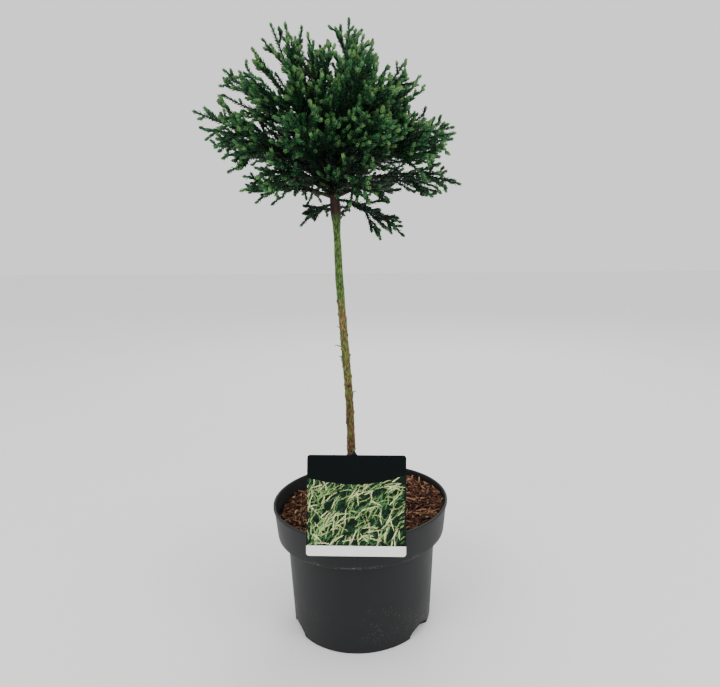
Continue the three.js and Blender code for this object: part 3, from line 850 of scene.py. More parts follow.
class StageSettings(bpy.types.PropertyGroup):
    """Floor and studio light."""

    floor: colour_setting("Floor", "Pale seamless floor", "#f6f6f5")
    floor_size: length_setting("Floor size", "Side of the floor", 14000)
    key_power: FloatProperty(name="Key light", description="Power of the large light, in watts", default=26)
    sky: FloatProperty(name="Sky", description="Strength of the even light from all round", default=1.15)


# ---- stage ----------------------------------------------------------------------------------------------

IMAGE_WIDTH, IMAGE_HEIGHT = 720, 687
SENSOR_WIDTH = 36
FOCAL_PIXELS = 604.4
PRINCIPAL = (409.3, 327.1)  # pixels from the frame's left and top
CAMERA_PLACE = (0.0445, -0.7622, 0.5102)
CAMERA_YAW, CAMERA_PITCH, CAMERA_ROLL = 1.551, 8.893, 0.272  # degrees to the right, down, clockwise
# place, size and share of the key light's power, of each soft light, aimed at the crown's foot
SOFT_LIGHTS = (
    ((-1.3, -1.5, 2.1), 1.4, 0.74),
    ((1.7, -1.2, 1.3), 1.2, 0.64),
    ((0.3, 1.9, 1.8), 1.2, 0.5),
)
LIGHT_AIM = Vector((0, 0, 0.42))


def make_camera():
    """The camera that the piece is shown by."""
    yaw, pitch, roll = (math.radians(a) for a in (CAMERA_YAW, CAMERA_PITCH, CAMERA_ROLL))
    ahead = Vector((math.sin(yaw) * math.cos(pitch), math.cos(yaw) * math.cos(pitch), -math.sin(pitch)))
    level = Vector((math.cos(yaw), -math.sin(yaw), 0))
    right = level * math.cos(roll) + ahead.cross(level) * math.sin(roll)
    up = right.cross(ahead)
    data = bpy.data.cameras.new("camera")
    data.sensor_width = SENSOR_WIDTH
    data.lens = FOCAL_PIXELS * SENSOR_WIDTH / IMAGE_WIDTH
    data.shift_x = (IMAGE_WIDTH / 2 - PRINCIPAL[0]) / IMAGE_WIDTH
    data.shift_y = (PRINCIPAL[1] - IMAGE_HEIGHT / 2) / IMAGE_WIDTH
    camera = bpy.data.objects.new("camera", data)
    turn = Matrix((right, up, -ahead)).transposed().to_4x4()
    camera.matrix_world = Matrix.Translation(CAMERA_PLACE) @ turn
    bpy.context.scene.collection.objects.link(camera)
    bpy.context.scene.camera = camera


def floor_material(settings):
    """Seamless studio paper, rolled: dead matt and almost white, with a tone that hardly wanders."""
    # clouds about half a metre across
    stops = ((0.3, scaled(settings.floor, 0.985)), (0.7, settings.floor))
    return mottled_material(
        "Studio paper, rolled", 2, stops, detail=2, Roughness=0.95, Specular_IOR_Level=0.2)


class CRYPTOMERIA_OT_stage(bpy.types.Operator):
    """Makes the camera, the floor and the soft lights"""

    bl_idname = "cryptomeria.stage"
    bl_label = "Stage"

    def execute(self, context):
        settings = context.scene.cryptomeria_stage
        make_camera()
        half = settings.floor_size / MM / 2
        corners = [(-half, -half, 0), (half, -half, 0), (half, half, 0), (-half, half, 0)]
        floor = mesh_object("floor", corners, [(0, 1, 2, 3)], floor_material(settings))
        for i, (place, size, share) in enumerate(SOFT_LIGHTS):
            data = bpy.data.lights.new(f"soft_light_{i + 1}", "AREA")
            data.shape, data.size, data.energy = "DISK", size, settings.key_power * share
            light = bpy.data.objects.new(data.name, data)
            light.location = place
            light.rotation_euler = (LIGHT_AIM - light.location).to_track_quat("-Z", "Y").to_euler()
            context.scene.collection.objects.link(light)
        world = bpy.data.worlds.new("studio")
        world.use_nodes = True
        sky = world.node_tree.nodes["Background"]
        sky.inputs["Color"].default_value = (1, 1, 1, 1)
        sky.inputs["Strength"].default_value = settings.sky
        context.scene.world = world
        return {"FINISHED"}


# ---- pot ------------------------------------------------------------------------------------------------

POT_HEIGHT = 163
RIM_RADIUS = 114.4
COLLAR_FOOT_RADIUS = 109.2
COLLAR_FOOT_HEIGHT = 121
BODY_TOP_RADIUS = 97.4
BODY_FOOT_RADIUS = 91
POT_WALL = 2.2
LIP_DROP, LIP_EXTRA, LIP_STEP = 4, 1.2, 0.4
FOOT_BEVEL = 2
UNDERCUT_ROUND, COLLAR_ROUND, LIP_FOOT_ROUND, LIP_STEP_ROUND, LIP_ROUND = 1.2, 2.4, 0.5, 0.6, 1.2
FLOOR_ROUND, SHELF_INNER_ROUND, SHELF_OUTER_ROUND, MOUTH_ROUND = 2, 1, 2, 1.4
MOUTH_FALL, MOUTH_FLARE, MOUTH_OVER = 0.8, 2, 1.2  # how the cavity opens and runs out over the lip
SCOOP_AZIMUTHS = (-154, -34, 86)
SCOOP_DEPTH, SCOOP_HALF_WIDTH, SCOOP_HEIGHT = 9, 21, 11
POT_SIDES = 192
POT_CREASE = 32  # degrees; edges of the pot that are sharper stay crisp
COLLAR_SLOPE = (RIM_RADIUS - LIP_EXTRA - COLLAR_FOOT_RADIUS) / (POT_HEIGHT - LIP_DROP - COLLAR_FOOT_HEIGHT)
ROUND_STEPS = 5
SCOOP_SIDES = 72
SCOOP_ARC = [(math.cos(a), math.sin(a)) for a in np.linspace(-math.pi / 2, math.pi / 2, 37)[1:-1]]
# how much dust there is at each share of the pot's height: most of it low on the collar and on the body
DUST_BY_HEIGHT = (
    (0.0, 0.6), (0.1, 0.68), (0.42, 0.58), (0.6, 0.3), (0.73, 0.35), (0.76, 1.0), (0.8, 0.45), (1.0, 0.25),
)


def rounded(corners):
    """A profile from corners and radii: each corner with a radius becomes a short curve of about it."""
    made = []
    for i, (corner, radius) in enumerate(corners):
        if not radius:
            made.append(corner)
            continue
        here = np.array(corner, float)
        before, after = (here + unit(np.array(corners[j][0]) - here) * radius for j in (i - 1, i + 1))
        made.extend(tuple(curve(before, here, after, share)) for share in np.linspace(0, 1, ROUND_STEPS))
    return made


def pot_outside():
    """From the middle of the underside round the outside and over the lip to the axis."""
    return rounded([
        ((0, 0), 0),
        ((BODY_FOOT_RADIUS, 0), FOOT_BEVEL),
        ((BODY_TOP_RADIUS, COLLAR_FOOT_HEIGHT), UNDERCUT_ROUND),
        ((COLLAR_FOOT_RADIUS, COLLAR_FOOT_HEIGHT), COLLAR_ROUND),
        ((RIM_RADIUS - LIP_EXTRA, POT_HEIGHT - LIP_DROP), LIP_FOOT_ROUND),
        ((RIM_RADIUS, POT_HEIGHT - LIP_DROP + LIP_STEP), LIP_STEP_ROUND),
        ((RIM_RADIUS, POT_HEIGHT), LIP_ROUND),
        ((0, POT_HEIGHT), 0),
    ])


def pot_cavity():
    """The space inside the pot, from its floor up past the lip, which it rounds over."""
    shoulder = COLLAR_FOOT_HEIGHT + POT_WALL
    mouth = COLLAR_FOOT_RADIUS - POT_WALL + COLLAR_SLOPE * (POT_HEIGHT - shoulder)
    return rounded([
        ((0, POT_WALL), 0),
        ((BODY_FOOT_RADIUS - POT_WALL, POT_WALL), FLOOR_ROUND),
        ((BODY_TOP_RADIUS - POT_WALL, shoulder), SHELF_INNER_ROUND),
        ((COLLAR_FOOT_RADIUS - POT_WALL, shoulder), SHELF_OUTER_ROUND),
        ((mouth, POT_HEIGHT - MOUTH_FALL), MOUTH_ROUND),
        ((mouth + MOUTH_FLARE, POT_HEIGHT + MOUTH_OVER), 0),
        ((0, POT_HEIGHT + MOUTH_OVER), 0),
    ])


def scoop(azimuth, gap, material):
    """The body of one arched dent in the foot of the pot, as a tool for cutting."""
    tool = lathe_object("scoop", [(0, -1), *SCOOP_ARC, (0, 1)], SCOOP_SIDES, material)
    size = Matrix.Diagonal((SCOOP_DEPTH + gap, SCOOP_HALF_WIDTH + gap, SCOOP_HEIGHT + gap, 1))
    turn = Matrix.Rotation(math.radians(azimuth), 4, "Z")
    place = Matrix.Translation(Vector((BODY_FOOT_RADIUS, 0, 0)) * MM)
    tool.data.transform(turn @ place @ size)
    return tool


def pot_material(settings):
    """Polypropylene, injection-moulded with a spark-eroded grain: matt, faintly mottled, with dried dust."""
    material, shader, at = new_material("Polypropylene, moulded, anthracite")
    # moulding blush in patches of about 40 mm lifts the grey a little
    blush = add_node(material, "TexNoise", {"Vector": at, "Scale": 25, "Detail": 4, "Roughness": 0.6})
    stops = ((0.35, settings.plastic), (0.75, scaled(settings.plastic, 1.35)))
    tone = add_node(material, "ValToRGB", {"Fac": blush}, stops)
    # dust gathers in specks of about 1 mm, in drifts of about 60 mm
    specks = add_node(material, "TexNoise", {"Vector": at, "Scale": 800, "Detail": 2})
    drifts = add_node(material, "TexNoise", {"Vector": at, "Scale": 16, "Detail": 2})
    low = add_node(material, "ValToRGB", {"Fac": rise(material, at, 0, POT_HEIGHT)}, DUST_BY_HEIGHT)
    gathered = add_node(material, "Math", {0: drifts, 1: low}, operation="MULTIPLY")
    both = add_node(material, "Math", {0: gathered, 1: specks}, operation="ADD")
    spot = add_node(material, "MapRange", {"Value": both, "From Min": 1.03, "From Max": 1.2})
    dusty = add_node(
        material, "Mix", {MIX_FACTOR: spot, MIX_A: tone, MIX_B: opaque(settings.dust)}, data_type="RGBA")
    # the spark-eroded grain is about 0.3 mm, drawn at 1.6 mm so that it shows
    grain = add_node(material, "TexNoise", {"Vector": at, "Scale": 620, "Detail": 3})
    bump = add_node(material, "Bump", {"Height": grain, "Strength": 0.12, "Distance": 0.4 * MM})
    shine = add_node(material, "MapRange", {"Value": blush, "To Min": 0.45, "To Max": 0.62})
    return finish(material, shader, Base_Color=dusty.outputs[MIX_RESULT], Normal=bump, Roughness=shine,
                  IOR=1.49, Specular_IOR_Level=0.25)


class CRYPTOMERIA_OT_pot(bpy.types.Operator):
    """Turns the nursery pot and cuts the dents in its foot"""

    bl_idname = "cryptomeria.pot"
    bl_label = "Pot"

    def execute(self, context):
        material = pot_material(context.scene.cryptomeria_pot)
        pot = lathe_object("nursery_pot", pot_outside(), POT_SIDES, material)
        cavity = lathe_object("cavity", pot_cavity(), POT_SIDES, material)
        for azimuth in SCOOP_AZIMUTHS:
            cut(pot, scoop(azimuth, 0, material))
            cut(cavity, scoop(azimuth, POT_WALL, material))
        cut(pot, cavity)
        pot.data.polygons.foreach_set("use_smooth", np.full(len(pot.data.polygons), True))
        pot.data.set_sharp_from_angle(angle=math.radians(POT_CREASE))
        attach(pot, "root")
        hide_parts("pot")
        return {"FINISHED"}


# ---- mulch ----------------------------------------------------------------------------------------------

MULCH_FLAT_RADIUS = 34
MULCH_RISE = 9
MULCH_HUMP, MULCH_HUMP_X, MULCH_HUMP_Y = 1.2, 82, 107
MOUND_SIDES, MOUND_RINGS = 180, 56
MOUND_LUMP, MOUND_DROP = 1.4, 10  # bumps of the packed mulch, and how deep its mesh goes
MOUND_SUNK = 0.6  # how far the packed mulch lies below its level, in bumps
# how many bumps there are round the mound and out from its middle, and their seed
COARSE_LUMPS, FINE_LUMPS = ((44, 16), 3), ((90, 34), 4)
FINE_LUMP = 0.5  # height of a fine bump, in coarse ones
WALL_PULL = 8  # power by which the mound's points follow the wall only near to it
SHRED_RINGS = 4
SHRED_LENGTH, SHRED_WIDTH, SHRED_THICKNESS = (5, 23), (0.7, 3.1), (0.35, 1.2)
SHRED_PITCH, SHRED_ROLL = 0.26, 0.35  # how far shreds stand up and lie tilted
SHRED_LEVEL = (-0.8, 2.2)
SHRED_CURL, SHRED_LIFT = 0.5, 0.6  # how far shreds curl aside, and how far they arch up for that
SHRED_TAPER = np.array([0.35, 1, 0.9, 0.35])
SHRED_VARIED = (0.7, 1.2)
SHRED_SHORTENED = (0.5, 1)
SHRED_ARCH = 0.5
SHRED_SEED = 11
PACKED_SHADE = 0.35  # how dark the packed mulch is beside its shreds
SHRED_MARGIN, SHRED_WALL_GAP = 4, 1.5  # how far shreds keep from the wall by their middles and by their ends
SHRED_SHADES = (("dark", "bark", 0.3, 0.33), ("brown", "bark", 1.05, 0.43), ("tan", "sapwood", 1.0, 0.24))


def mulch_height(x, y):
    """The mulch lies flat round the stem and rises a little to the right, with a few low humps."""
    out = np.maximum(np.hypot(x, y) - MULCH_FLAT_RADIUS, 0) / (RIM_RADIUS - MULCH_FLAT_RADIUS)
    wave = np.sin(2 * np.pi * x / MULCH_HUMP_X) * np.cos(2 * np.pi * y / MULCH_HUMP_Y)
    return MULCH_LEVEL + out * (MULCH_RISE * x / RIM_RADIUS + MULCH_HUMP * wave)


def wall_radius(height):
    """Inner radius of the pot's collar, less the clearance."""
    above = height - COLLAR_FOOT_HEIGHT - POT_WALL
    return COLLAR_FOOT_RADIUS - POT_WALL - CLEARANCE + COLLAR_SLOPE * above


def bark_mulch_material(name, colour):
    """Composted pine bark, shredded: rough and fibrous, its brown wandering from shred to shred."""
    # shreds are about 8 mm apart, and their fibres about 0.5 mm, drawn at 1.2 mm so that they show
    stops = ((0.32, scaled(colour, 0.55)), (0.7, scaled(colour, 1.5)), (0.5, colour))
    return mottled_material(name, 125, stops, relief=(830, 2, 0.5, 0.5),
                            Roughness=0.9, IOR=1.4, Specular_IOR_Level=0.25)


def mulch_mound(material):
    """The packed mulch: a lumpy top that meets the pot's wall, closed under it."""
    grid = (MOUND_SIDES, MOUND_RINGS)
    lumps = smooth_noise(grid, *COARSE_LUMPS) + FINE_LUMP * smooth_noise(grid, *FINE_LUMPS)
    turn = 2 * np.pi * np.arange(MOUND_SIDES) / MOUND_SIDES
    shares = np.linspace(0, 1, MOUND_RINGS + 1)[1:]
    level_radius, foot = wall_radius(MULCH_LEVEL), MULCH_LEVEL - MOUND_DROP
    x, y = (shares[:, None] * level_radius * f(turn) for f in (np.cos, np.sin))
    z = mulch_height(x, y) + MOUND_LUMP * (lumps.T - MOUND_SUNK)
    fit = lerp(1, wall_radius(z) / level_radius, shares[:, None] ** WALL_PULL)
    top = np.stack([x * fit, y * fit, z], axis=2).reshape(-1, 3)
    under = top[-MOUND_SIDES:].copy()
    under[:, :2] *= wall_radius(foot) / level_radius
    under[:, 2] = foot
    points = np.vstack([top, under, [(0, 0, z[0].mean()), (0, 0, foot)]])
    first, last = len(points) - 2, len(points) - 1
    sides = wall(MOUND_RINGS + 1, MOUND_SIDES)[:, ::-1]
    base = fan(MOUND_RINGS * MOUND_SIDES, MOUND_SIDES, last)[:, ::-1]
    return mesh_object("mulch_bed", points, np.vstack([sides, fan(0, MOUND_SIDES, first), base]), material)


def mulch_shreds(count, rng):
    """Curled shreds of bark strewn over the mulch: paths, ways across them, widths and thicknesses."""
    reach = np.sqrt(rng.uniform(0, 1, count)) * (wall_radius(MULCH_LEVEL) - SHRED_MARGIN)
    around = rng.uniform(0, 2 * np.pi, count)
    length = rng.uniform(*SHRED_LENGTH, count) * rng.uniform(*SHRED_SHORTENED, count)
    heading = rng.uniform(0, 2 * np.pi, count)
    pitch = np.abs(rng.normal(0, SHRED_PITCH, count)) * rng.choice((-1, 1), count)
    middle = np.stack([reach * np.cos(around), reach * np.sin(around), np.zeros(count)], axis=1)
    middle[:, 2] = mulch_height(middle[:, 0], middle[:, 1]) + rng.uniform(*SHRED_LEVEL, count)
    way = np.stack([np.cos(heading) * np.cos(pitch), np.sin(heading) * np.cos(pitch), np.sin(pitch)], axis=1)
    side = np.stack([-np.sin(heading), np.cos(heading), rng.normal(0, SHRED_ROLL, count)], axis=1)
    curl = rng.normal(0, SHRED_CURL, (count, 1))[:, None]
    long = length[:, None, None]
    steps = np.linspace(-0.5, 0.5, SHRED_RINGS)[None, :, None]
    lift = (steps[:, :1] ** 2 - steps**2) * long * SHRED_ARCH
    paths = middle[:, None] + way[:, None] * steps * long + lift * (
        side[:, None] * curl + UPWARD * np.abs(curl) * SHRED_LIFT)
    out = np.hypot(paths[..., 0], paths[..., 1])
    limit = wall_radius(np.minimum(paths[..., 2], POT_HEIGHT)) - SHRED_WALL_GAP
    paths[..., :2] *= np.minimum(1, limit / np.maximum(out, 1))[..., None]
    widths = rng.uniform(*SHRED_WIDTH, count)[:, None] * SHRED_TAPER
    widths = widths * rng.uniform(*SHRED_VARIED, widths.shape)
    across = np.repeat(side[:, None], SHRED_RINGS, axis=1)
    return paths, across, widths, rng.uniform(*SHRED_THICKNESS, count)


class CRYPTOMERIA_OT_mulch(bpy.types.Operator):
    """Fills the pot with bark mulch"""

    bl_idname = "cryptomeria.mulch"
    bl_label = "Mulch"

    def execute(self, context):
        settings = context.scene.cryptomeria_pot
        rng = np.random.default_rng(SHRED_SEED)
        packed = scaled(settings.bark, PACKED_SHADE)
        pieces = [mulch_mound(bark_mulch_material("Composted bark, packed", packed))]
        for shade, setting, brightness, share in SHRED_SHADES:
            colour = scaled(getattr(settings, setting), brightness)
            material = bark_mulch_material(f"Pine bark, shredded, {shade}", colour)
            points, faces = flat_strips(*mulch_shreds(int(settings.shreds * share), rng))
            pieces.append(mesh_object(f"mulch_shreds_{shade}", points, faces, material, smooth=False))
        for piece in pieces:
            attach(piece, "root")
            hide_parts("mulch")
        return {"FINISHED"}


# ---- stem -----------------------------------------------------------------------------------------------

BARK_SIDES, BARK_RINGS = 44, 520
NUB_SEED = 5
RELIEF_START, RELIEF_FADE = 200, 190  # where the relief of old bark starts to die away, and over how much
RELIEF_LEFT = 0.2  # share of the relief that the young bark keeps
# height, cells round and up the stem, and seed: ridges and grain in shares of the setting, swells in mm
BARK_WAVES = ((1.1, (13, 90), 21), (0.6, (22, 260), 22), (0.35, (4, 26), 23))
FLARE_LOBES = ((4, 0.6, 0.1), (7, 2.1, 0.05))  # how many, turn, and depth as a share of the radius
NUB_FOOT, NUB_TOP = MULCH_LEVEL + 6, 440
NUB_SIZE = (0.8, 1.7)
NUB_HEIGHT = (0.6, 1.5)
# how much of the bark is old at each share of the stem's height: most of it at the foot
OLD_BY_HEIGHT = (
    (0.0, 0.62), (0.2, 0.54), (0.38, 0.46), (0.47, 0.37), (0.5, 0.5), (0.57, 0.5), (0.62, 0.4), (0.8, 0.42),
)
# old twiglets on the stem: height, azimuth, length, drop of the hooked tip
TWIGLETS = (
    (366, 184, 6.5, -0.4), (352, 178, 3.5, -0.2), (391, 186, 2.6, 0.0), (305, 20, 4, 0.2),
    (330, 96, 5, -0.3), (412, 268, 3, 0.1), (276, 250, 4.5, -0.2), (345, 60, 3.5, 0.1),
)
TWIGLET_RINGS, TWIGLET_SIDES, TWIGLET_RADII = 8, 6, (0.9, 0.3)
TWIGLET_CLIMB, TWIGLET_HOOK = 18, 40  # degrees that they climb by, and that their tips are bent round by
TWIGLET_SUNK = 1  # how deep their feet stand in the stem
HOOK_FROM, HOOK_LENGTH, HOOK_DROP = 0.6, 0.3, 0.5  # in lengths of the twiglet, and of its drop


def bark_skin(settings):
    """Points on the stem, as (ring, side, xyz): old ridged bark with nubs low down, smooth higher up."""
    rng = np.random.default_rng(NUB_SEED)
    shares = np.linspace(0, 1, BARK_RINGS)
    path = curve_through(STEM_LINE, lerp(STEM_EVENNESS, 1, shares) * shares)
    heights = path[:, 2]
    turn = 2 * np.pi * np.arange(BARK_SIDES) / BARK_SIDES
    age = np.exp(-np.maximum(heights - RELIEF_START, 0) / RELIEF_FADE)[None]
    ridges, grain, swells = (
        high * smooth_noise((BARK_SIDES, BARK_RINGS), cells, seed) for high, cells, seed in BARK_WAVES)
    relief = settings.relief / MM * (ridges + grain) * lerp(RELIEF_LEFT, 1, age) + swells
    for _ in range(settings.nubs):
        height = rng.uniform(NUB_FOOT, NUB_TOP)
        at, size = rng.uniform(0, 2 * np.pi), rng.uniform(*NUB_SIZE)
        off = (turn[:, None] - at + np.pi) % (2 * np.pi) - np.pi
        near = (off * stem_radius(height)) ** 2 + (heights[None] - height) ** 2
        relief += rng.uniform(*NUB_HEIGHT) * np.exp(-near / size**2)
    radius = stem_radius(heights)[None] + relief
    flare = np.exp(-(heights - MULCH_LEVEL) / FLARE_HEIGHT)[None]
    for lobes, start, depth in FLARE_LOBES:
        radius = radius * (1 + depth * flare * np.cos(lobes * turn + start)[:, None])
    along = unit(np.gradient(path, axis=0))
    side = unit(np.cross(np.broadcast_to((0.0, 1.0, 0.0), along.shape), along))
    return path[:, None] + all_round(along, side, BARK_SIDES) * radius.T[:, :, None]


def bark_material(settings):
    """Young cryptomeria bark: green and smooth above, flecked olive, brown and red-brown where it ages
    below, and dark red-brown under the crown, partly its own colour and partly painted shade.
    """
    material, shader, at = new_material("Cryptomeria bark, young")
    green, olive, brown, rust_and_shade = settings.green, settings.olive, settings.brown, settings.rust_and_shade
    up = rise(material, at, MULCH_LEVEL, STEM_LINE[-1][2])
    # from about 520 mm up, under the crown, both ramps darken the green and end in the dark red-brown:
    # partly the bark's own colour there, partly painted shade of the crown
    live = add_node(material, "ValToRGB", {"Fac": up}, stops=(
        (0.0, scaled(olive, 0.85)), (0.36, olive), (0.42, scaled(olive, 1.12)), (0.52, olive),
        (0.6, green), (0.79, scaled(green, 0.8)), (0.82, rust_and_shade), (1.0, rust_and_shade)))
    dead = add_node(material, "ValToRGB", {"Fac": up}, stops=(
        (0.0, scaled(rust_and_shade, 1.9)), (0.1, scaled(rust_and_shade, 1.9)), (0.2, brown), (0.44, brown),
        (0.54, scaled(brown, 1.75)), (0.62, scaled(green, 0.7)), (0.79, scaled(green, 0.6)), (0.83, rust_and_shade)))
    # flecks run up the stem, about 3 mm across and 9 mm long
    longer = add_node(material, "Mapping", {"Vector": at, "Scale": (1, 1, 0.35)})
    fleck = add_node(material, "TexNoise", {"Vector": longer, "Scale": 320, "Detail": 4, "Roughness": 0.65})
    old = add_node(material, "ValToRGB", {"Fac": up}, OLD_BY_HEIGHT)
    gap = add_node(material, "Math", {0: old, 1: fleck}, operation="SUBTRACT")
    share = add_node(material, "MapRange", {"Value": gap, "From Min": -0.03, "From Max": 0.03})
    tone = add_node(material, "Mix", {MIX_FACTOR: share, MIX_A: live, MIX_B: dead}, data_type="RGBA")
    # pale and dark specks about 2 mm across and 5 mm long
    speck = add_node(material, "TexNoise", {"Vector": longer, "Scale": 520, "Detail": 2})
    contrast = add_node(material, "MapRange", {
        "Value": speck, "From Min": 0.36, "From Max": 0.64, "To Min": 0.42, "To Max": 1.7})
    # dark cracks about 1 mm wide, drawn without relief: partly the cracks' own darker bark and partly
    # painted shade in them
    crack = add_node(material, "TexVoronoi", {"Vector": longer, "Scale": 330}, feature="DISTANCE_TO_EDGE")
    line = add_node(material, "MapRange", {"Value": crack, "From Max": 0.16, "To Min": 0.5, "To Max": 1})
    for shade in (contrast, line):
        layers = {MIX_FACTOR: 1.0, MIX_A: tone.outputs[MIX_RESULT], MIX_B: shade}
        tone = add_node(material, "Mix", layers, data_type="RGBA", blend_type="MULTIPLY")
    bump = add_node(material, "Bump", {"Height": fleck, "Strength": 0.4, "Distance": 0.5 * MM})
    return finish(material, shader, Base_Color=tone.outputs[MIX_RESULT], Normal=bump, Roughness=0.68,
                  IOR=1.45, Specular_IOR_Level=0.35)


def twiglet_paths():
    """Small hooked leftovers of twigs standing out of the stem: their lines and radii."""
    paths = []
    for height, azimuth, length, drop in TWIGLETS:
        root = stem_centre(height) + bearing(azimuth, 0) * (stem_radius(height) - TWIGLET_SUNK)
        tip = root + bearing(azimuth, TWIGLET_CLIMB) * (length + TWIGLET_SUNK)
        aside = bearing(azimuth + TWIGLET_HOOK, 0) * length * HOOK_LENGTH
        hook = tip + aside + UPWARD * drop * length * HOOK_DROP
        line = np.array([root, lerp(root, tip, HOOK_FROM), tip, hook])
        paths.append(curve_through(line, np.linspace(0, 1, TWIGLET_RINGS)))
    return np.array(paths), np.tile(np.linspace(*TWIGLET_RADII, TWIGLET_RINGS), (len(paths), 1))


class CRYPTOMERIA_OT_stem(bpy.types.Operator):
    """Grows the stem's bark with its relief, nubs and old twiglets"""

    bl_idname = "cryptomeria.stem"
    bl_label = "Stem"

    def execute(self, context):
        settings = context.scene.cryptomeria_stem
        material = bark_material(settings)
        stem = closed_tube("stem_bark", bark_skin(settings), material)
        points, faces = tubes(*twiglet_paths(), TWIGLET_SIDES)
        twiglets = mesh_object("stem_twiglets", points, faces, material)
        for piece in (stem, twiglets):
            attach(piece, "root")
            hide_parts("trunk")
        return {"FINISHED"}


# ---- boughs ---------------------------------------------------------------------------------------------

BOUGH_TUBE_RINGS, BOUGH_TUBE_SIDES = 26, 14
BOUGH_BUMP, BOUGH_BUMPS = 0.22, (7, 14)  # height of the bark's bumps, and how many round and along a bough
BOUGH_SEED = 40


def bough_bark_material(settings):
    """Bark of one-year wood: thin, red-brown and green in turns, with small ridges left by old needles."""
    # patches and ridges about 5 mm across; the red-brown is the stem's rusty bark colour, which is partly
    # painted shade of the crown
    stops = ((0.4, settings.rust_and_shade), (0.62, scaled(settings.green, 0.45)))
    return mottled_material("Cryptomeria bark, one-year wood", 200, stops, relief=(200, 3, 0.4, 0.4),
                            Roughness=0.7, IOR=1.45, Specular_IOR_Level=0.35)


class CRYPTOMERIA_OT_boughs(bpy.types.Operator):
    """Grows the boughs from the stem to their sprays"""

    bl_idname = "cryptomeria.boughs"
    bl_label = "Boughs"

    def execute(self, context):
        material = bough_bark_material(context.scene.cryptomeria_stem)
        for i, plan in enumerate(plan for plan in PLANS if len(plan["bough"])):
            line = np.vstack([plan["bough"], plan["bough"][-1] + plan["way"] * 2 * CLEARANCE])
            path = curve_through(line, np.linspace(0, 1, BOUGH_TUBE_RINGS))
            along = unit(np.gradient(path, axis=0))
            bumps = smooth_noise((BOUGH_TUBE_SIDES, BOUGH_TUBE_RINGS), BOUGH_BUMPS, BOUGH_SEED + i)
            radius = np.linspace(BOUGH_FOOT_RADIUS, BOUGH_TIP_RADIUS, BOUGH_TUBE_RINGS) + BOUGH_BUMP * bumps
            around = all_round(along, sideways(along), BOUGH_TUBE_SIDES)
            skin = path[:, None] + around * radius.T[:, :, None]
            bough = closed_tube(f"bough_bark_{plan['name']}", skin, material)
            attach(bough, "root")
            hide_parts(f"bough_{plan['name']}")
        return {"FINISHED"}


# ---- foliage --------------------------------------------------------------------------------------------


def needle_material(name, colour):
    """Live cryptomeria needle, a waxy keeled awl: a satin skin, its green wandering from shoot to shoot."""
    # the tone changes over about 12 mm, a shoot or two
    stops = ((0.36, scaled(colour, 0.75)), (0.66, scaled(colour, 1.3)))
    return mottled_material(name, 85, stops, Roughness=0.5, IOR=1.45, Specular_IOR_Level=0.4)


def twig_material(name, low, high):
    """Young wood, grown: matt, in two tones that change every few millimetres, seen between the needles."""
    # 9 mm patches, the length over which a shoot's wood changes from green to ripe
    stops = ((0.42, low), (0.6, high))
    return mottled_material(name, 110, stops, Roughness=0.75, IOR=1.45, Specular_IOR_Level=0.3)


class CRYPTOMERIA_OT_foliage(bpy.types.Operator):
    """Grows the twigs and clads them in needles"""

    bl_idname = "cryptomeria.foliage"
    bl_label = "Twigs and needles"

    def execute(self, context):
        settings = context.scene.cryptomeria_needles
        boughs, limbs, fine = grow_crown(settings.spacing / MM, settings.seed)
        bark = context.scene.cryptomeria_stem.brown
        # the twigs' two tones take the needles' dark and shaded inner greens, which are partly painted shade
        ripe = twig_material("Ripe twig wood", scaled(bark, 0.12), settings.dark)
        green = twig_material("Green shoot skin", settings.inner, settings.leaf)
        twigs = (("twigs_main", limbs, LIMB_SIDES, ripe), ("twigs_fine", fine, FINE_SIDES, green))
        pieces = []
        for name, grown, sides, wood in twigs:
            paths = np.array([line for line, _ in grown])
            roots = np.array([root for _, root in grown])
            radii = lerp(roots[:, None], TIP_WOOD, np.linspace(0, 1, paths.shape[1])[None])
            points, faces = tubes(paths, radii, sides)
            pieces.append(mesh_object(name, points, faces, wood))
        lines = [line for line, _ in boughs + limbs + fine]
        needles, shades = grow_needles(lines, settings)
        for shade, name in enumerate(NEEDLE_SHADES):
            material = needle_material(f"Cryptomeria needles, {name}", getattr(settings, name))
            chosen = needles[shades == shade]
            for part in range(math.ceil(len(chosen) / NEEDLES_A_PIECE)):
                corners = chosen[part * NEEDLES_A_PIECE : (part + 1) * NEEDLES_A_PIECE]
                faces = repeated(NEEDLE_FACES, len(corners), corners.shape[1])
                pieces.append(mesh_object(
                    f"needles_{name}_{part + 1}", corners.reshape(-1, 3), faces, material, smooth=False))
        for piece in pieces:
            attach(piece, "root")
            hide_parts(*(f"foliage_{plan['name']}" for plan in PLANS))
        return {"FINISHED"}


# ---- label ----------------------------------------------------------------------------------------------

CARD_WIDTH, CARD_HEIGHT, CARD_THICKNESS, CARD_CORNER = 114.6, 114.4, 0.8, 3.4
CARD_FOOT, CARD_TILT, CARD_TURN = 145, 12, -3.4
CORNER_POINTS = 7
LAYER = 0.04  # thickness of each printed layer
CARD_FACE = -8 * LAYER  # the card's own face, so that the print ends level with its construction
RAISED = 6 * LAYER  # how thick the band and the strip are
STRIP_HEIGHT = 11.5
BAND_FOOT = ((-57.3, 88), (-30, 83), (0, 81), (28, 84), (57.3, 92))  # lower edge of the dark band
BAND_POINTS = 25
FIELD_FOOT, FIELD_TOP = STRIP_HEIGHT - 1, BAND_FOOT[0][1] + 8  # it runs on under the strip and the band
SPRIGS, SPRIG_SEED = 620, 29
SPRIG_LENGTH = (8, 19)
SPRIG_ROOTS = ((-60, 52), (STRIP_HEIGHT - 6, 86))  # where the sprigs start, across the card and up it
SPRIG_HEADING, SPRIG_BOW = (0.9, 0.55), (0, 0.25)  # middle and spread of each, in radians
